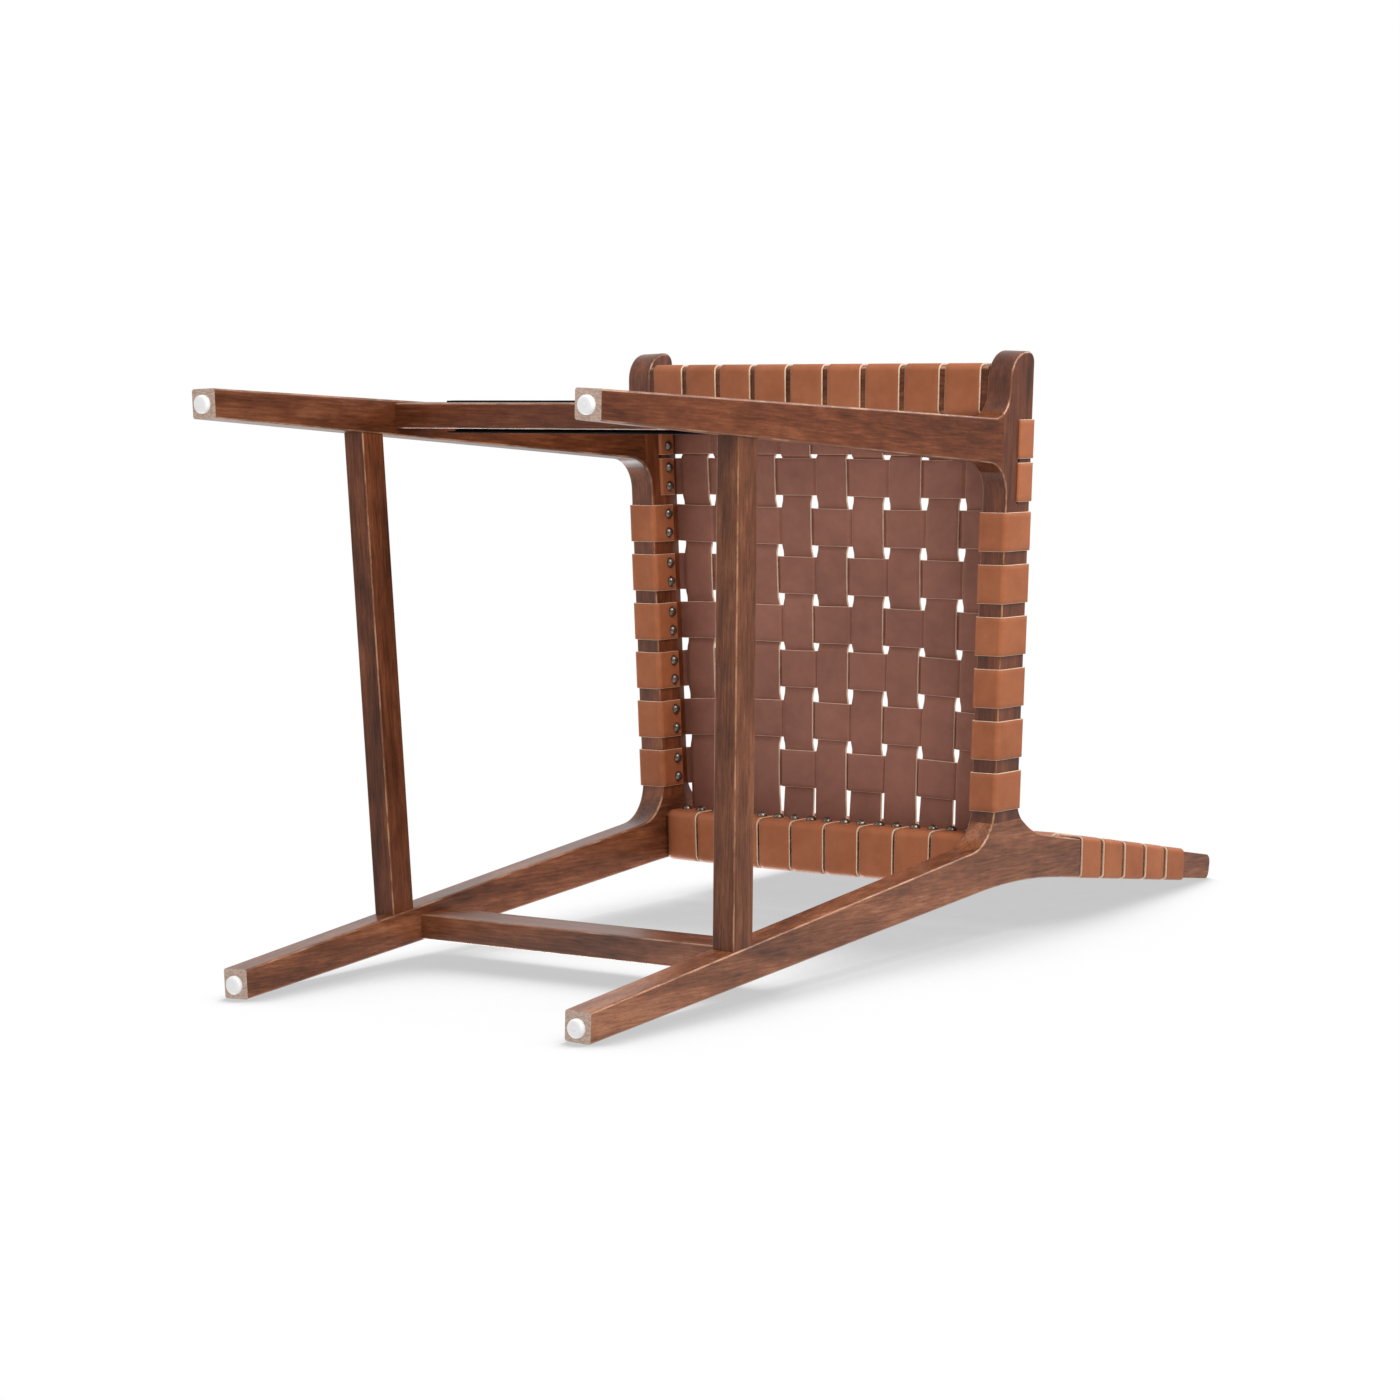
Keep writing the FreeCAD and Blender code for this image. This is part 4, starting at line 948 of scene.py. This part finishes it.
def straps():
    outer = leather("leather_outer_tan", [(0.335, 0.1, 0.038), (0.415, 0.132, 0.053),
                                          (0.49, 0.165, 0.07)], 0.42, 1050, 0.22)
    under = leather("leather_under_brown", [(0.262, 0.106, 0.073), (0.335, 0.138, 0.096),
                                            (0.4, 0.17, 0.119)], 0.52, 1500, 0.16)
    materials = [outer, under, cut_edge()]
    made = {}
    for i, y in enumerate(SEAT_CROSS_Y):
        corners_at = slot_corners if i < SLOTTED_STRAPS else wrap_corners
        node = f"seat_cross_strap_{i + 1}"
        made[node] = cross_strap(node, SEAT, y, i, SEAT_RAIL, corners_at, rail_depth,
                                 SEAT_SLIP[i], seat_sag, materials)
    for i, y in enumerate(BACK_CROSS_Y):
        node = f"back_cross_strap_{i + 1}"
        made[node] = cross_strap(node, BACK, y, i, BACK_RAIL, wrap_corners, upright_depth,
                                 BACK_SLIP[i], no_sag, materials)
    for k in range(LONG_STRAPS):
        node = f"seat_long_strap_{k + 1}"
        made[node] = long_strap(node, SEAT, k, SEAT_RAIL, SEAT_CROSS_Y, SEAT_SLIP, seat_sag,
                                materials)
        node = f"back_long_strap_{k + 1}"
        made[node] = long_strap(node, BACK, k, BACK_RAIL, BACK_CROSS_Y, BACK_SLIP, no_sag,
                                materials)
    for node, piece in made.items():
        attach(piece, "root")
        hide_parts(node)


def hardware():
    nail_metal = metal("nail_antique_steel", [(0.09, 0.07, 0.056), (0.33, 0.28, 0.24)], 0.2,
                       0.95, 0.25)
    for node in ("seat_cross_strap_nails", "seat_long_strap_nails",
                 "back_cross_strap_nails", "back_long_strap_nails"):
        nails(node, nail_metal)
    glides("foot_glides", nylon())
    screw_heads("plate_screws", metal("screw_blackened_steel", [(0.02, 0.02, 0.02),
                                                                (0.07, 0.068, 0.066)],
                                      0.3, 0.9, 0.2))
    dress("footrest_plate", plate_paint())


# ------------------------------------------------------------ stage, light and camera
SHADOW_REACH = 0.42              # the paper greys where something stands this close over it
SHADOW_GREY = 0.57
SHADOW_EDGES = (0.5, 0.86)       # shares of open air at which the paper is grey and white
FLOOR_HALF_SIZE = 3.2
FLOOR_GAP = 0.2 * MM
FLOOR_LEAN = -0.0064             # y of the floor behind for each unit of height


def ground(name, corners, centre, radius, light_from):
    """A pale floor seen only from its front, fading out towards its rim. It glows evenly, and
    greys with a painted shadow where the stool covers it towards light_from."""
    mesh = bpy.data.meshes.new(name)
    mesh.from_pydata(corners, [], [(0, 1, 2, 3)])
    tree = Tree(name + "_paper")
    place = tree.coords.outputs["Object"]
    axis = tree.add("ShaderNodeCombineXYZ", dict(zip("XYZ", light_from))).outputs[0]
    open_air = tree.add("ShaderNodeAmbientOcclusion",
                        {"Distance": SHADOW_REACH, "Normal": axis}, samples=24).outputs["AO"]
    lit = tree.fade(open_air, *SHADOW_EDGES)
    # a slight uneven grain inside the painted shadow
    shadow_grain = tree.noise(place, 40, 3)
    shade = tree.math("MULTIPLY_ADD", lit, 1 - SHADOW_GREY, SHADOW_GREY)
    shade = tree.math("MULTIPLY_ADD", tree.math("SUBTRACT", shadow_grain, 0.5),
                      tree.math("MULTIPLY", tree.math("SUBTRACT", 1.0, lit), 0.03), shade)
    tree.finish((0, 0, 0, 1), 1.0, Specular_IOR_Level=0.0, Emission_Color=shade,
                Emission_Strength=1.0)
    away = tree.add("ShaderNodeVectorMath", {0: place, 1: centre},
                    operation="DISTANCE").outputs["Value"]
    rim = tree.fade(away, radius * 0.35, radius)
    back = tree.add("ShaderNodeNewGeometry").outputs["Backfacing"]
    clear = tree.math("MAXIMUM", rim, back)
    see_through = tree.add("ShaderNodeBsdfTransparent")
    mixed = tree.add("ShaderNodeMixShader", {0: clear, 1: tree.shader.outputs[0],
                                             2: see_through.outputs[0]})
    tree.put(tree.surface, mixed.outputs[0])
    mesh.materials.append(tree.material)
    plane = bpy.data.objects.new(name, mesh)
    bpy.context.scene.collection.objects.link(plane)
    for ray in ("visible_diffuse", "visible_glossy", "visible_transmission",
                "visible_volume_scatter", "visible_shadow"):
        setattr(plane, ray, False)


def stage():
    """Two floors: one that the stool lies on and one that it stands on."""
    size, lean = FLOOR_HALF_SIZE, FLOOR_LEAN
    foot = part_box("rear_leg_left")
    back_y = max(foot[1].y, CAD_BOX[1].y) + FLOOR_GAP
    corners = [(-size, back_y - lean * size, -size), (size, back_y - lean * size, -size),
               (size, back_y + lean * size, size), (-size, back_y + lean * size, size)]
    ground("floor_behind", corners, (0, back_y, 0.5), size, (-0.25, -0.75, 0.61))
    flat = [(-size, -size, 0), (size, -size, 0), (size, size, 0), (-size, size, 0)]
    ground("floor_below", flat, (0, 0, 0), size, (0.2, -0.2, 0.96))


def softbox(name, position, target, size, power):
    light = bpy.data.lights.new(name, "AREA")
    light.shape = "SQUARE"
    light.size = size
    light.energy = power
    lamp = bpy.data.objects.new(name, light)
    lamp.location = position
    lamp.visible_camera = False
    lamp.rotation_mode = "QUATERNION"
    lamp.rotation_quaternion = (Vector(target) - Vector(position)).to_track_quat("-Z", "Y")
    bpy.context.scene.collection.objects.link(lamp)


WORLD_DIM, WORLD_BRIGHT = 0.34, 0.82     # strengths that light the stool
WORLD_EDGES = (-0.1, 0.5)


def lights():
    """A pale studio. The camera sees a white world, which lights the stool more from behind
    its back and from its right, where a floor and a wall would send light back."""
    world = bpy.data.worlds.new("pale_studio")
    bpy.context.scene.world = world
    world.use_nodes = True
    graph = Graph(world.node_tree)
    seen = graph.add("ShaderNodeLightPath").outputs["Is Camera Ray"]
    place = graph.add("ShaderNodeTexCoord").outputs["Generated"]
    toward = graph.add("ShaderNodeSeparateXYZ", {0: place}).outputs
    right = graph.math("MULTIPLY", toward["X"], -1.0)
    bright_side = graph.math("MAXIMUM", toward["Y"], right)
    bounce = graph.add("ShaderNodeMapRange",
                       {"Value": bright_side, "From Min": WORLD_EDGES[0],
                        "From Max": WORLD_EDGES[1], "To Min": WORLD_DIM,
                        "To Max": WORLD_BRIGHT},
                       interpolation_type="SMOOTHSTEP").outputs[0]
    glow = graph.add("ShaderNodeMapRange", {"Value": seen, "To Min": bounce, "To Max": 1.0})
    background = graph.nodes["Background"].inputs
    graph.put(background["Color"], (1, 1, 1, 1))
    graph.put(background["Strength"], glow.outputs[0])
    middle = (0, 0, 0.55)
    softbox("key", (1.8, -2.2, 0.3), middle, 1.5, 58)
    softbox("fill", (1.2, -1.6, -1.2), (0, -0.1, 0.5), 1.0, 7)
    softbox("above_seat", (0.9, -1.3, 2.6), middle, 1.4, 18)
    softbox("behind_back", (-1.8, 2.0, 1.5), middle, 1.4, 36)


LENS = 96.128                    # mm, on a sensor 36 mm wide
SHIFT = (0.0059, 0.0065)
CAMERA_AT = (2.1341, -0.3101, -2.4496)
# Where the picture's right and down point: the stool lies on its back in it
CAMERA_RIGHT = (0.80531565, 0.01276688, 0.5927088)
CAMERA_DOWN = (0.04920548, 0.99487916, -0.08828525)


def camera():
    data = bpy.data.cameras.new("camera")
    data.sensor_width = 36
    data.lens = LENS
    data.shift_x, data.shift_y = SHIFT
    data.clip_end = 100
    view = bpy.data.objects.new("camera", data)
    right = Vector(CAMERA_RIGHT)
    down = Vector(CAMERA_DOWN)
    forward = right.cross(down)
    turn = Matrix((right, -down, -forward)).transposed()
    view.matrix_world = Matrix.Translation(Vector(CAMERA_AT)) @ turn.to_4x4()
    bpy.context.scene.collection.objects.link(view)
    bpy.context.scene.camera = view


wooden_frame()
straps()
hardware()
stage()
lights()
camera()
bpy.context.scene.view_settings.view_transform = "Standard"
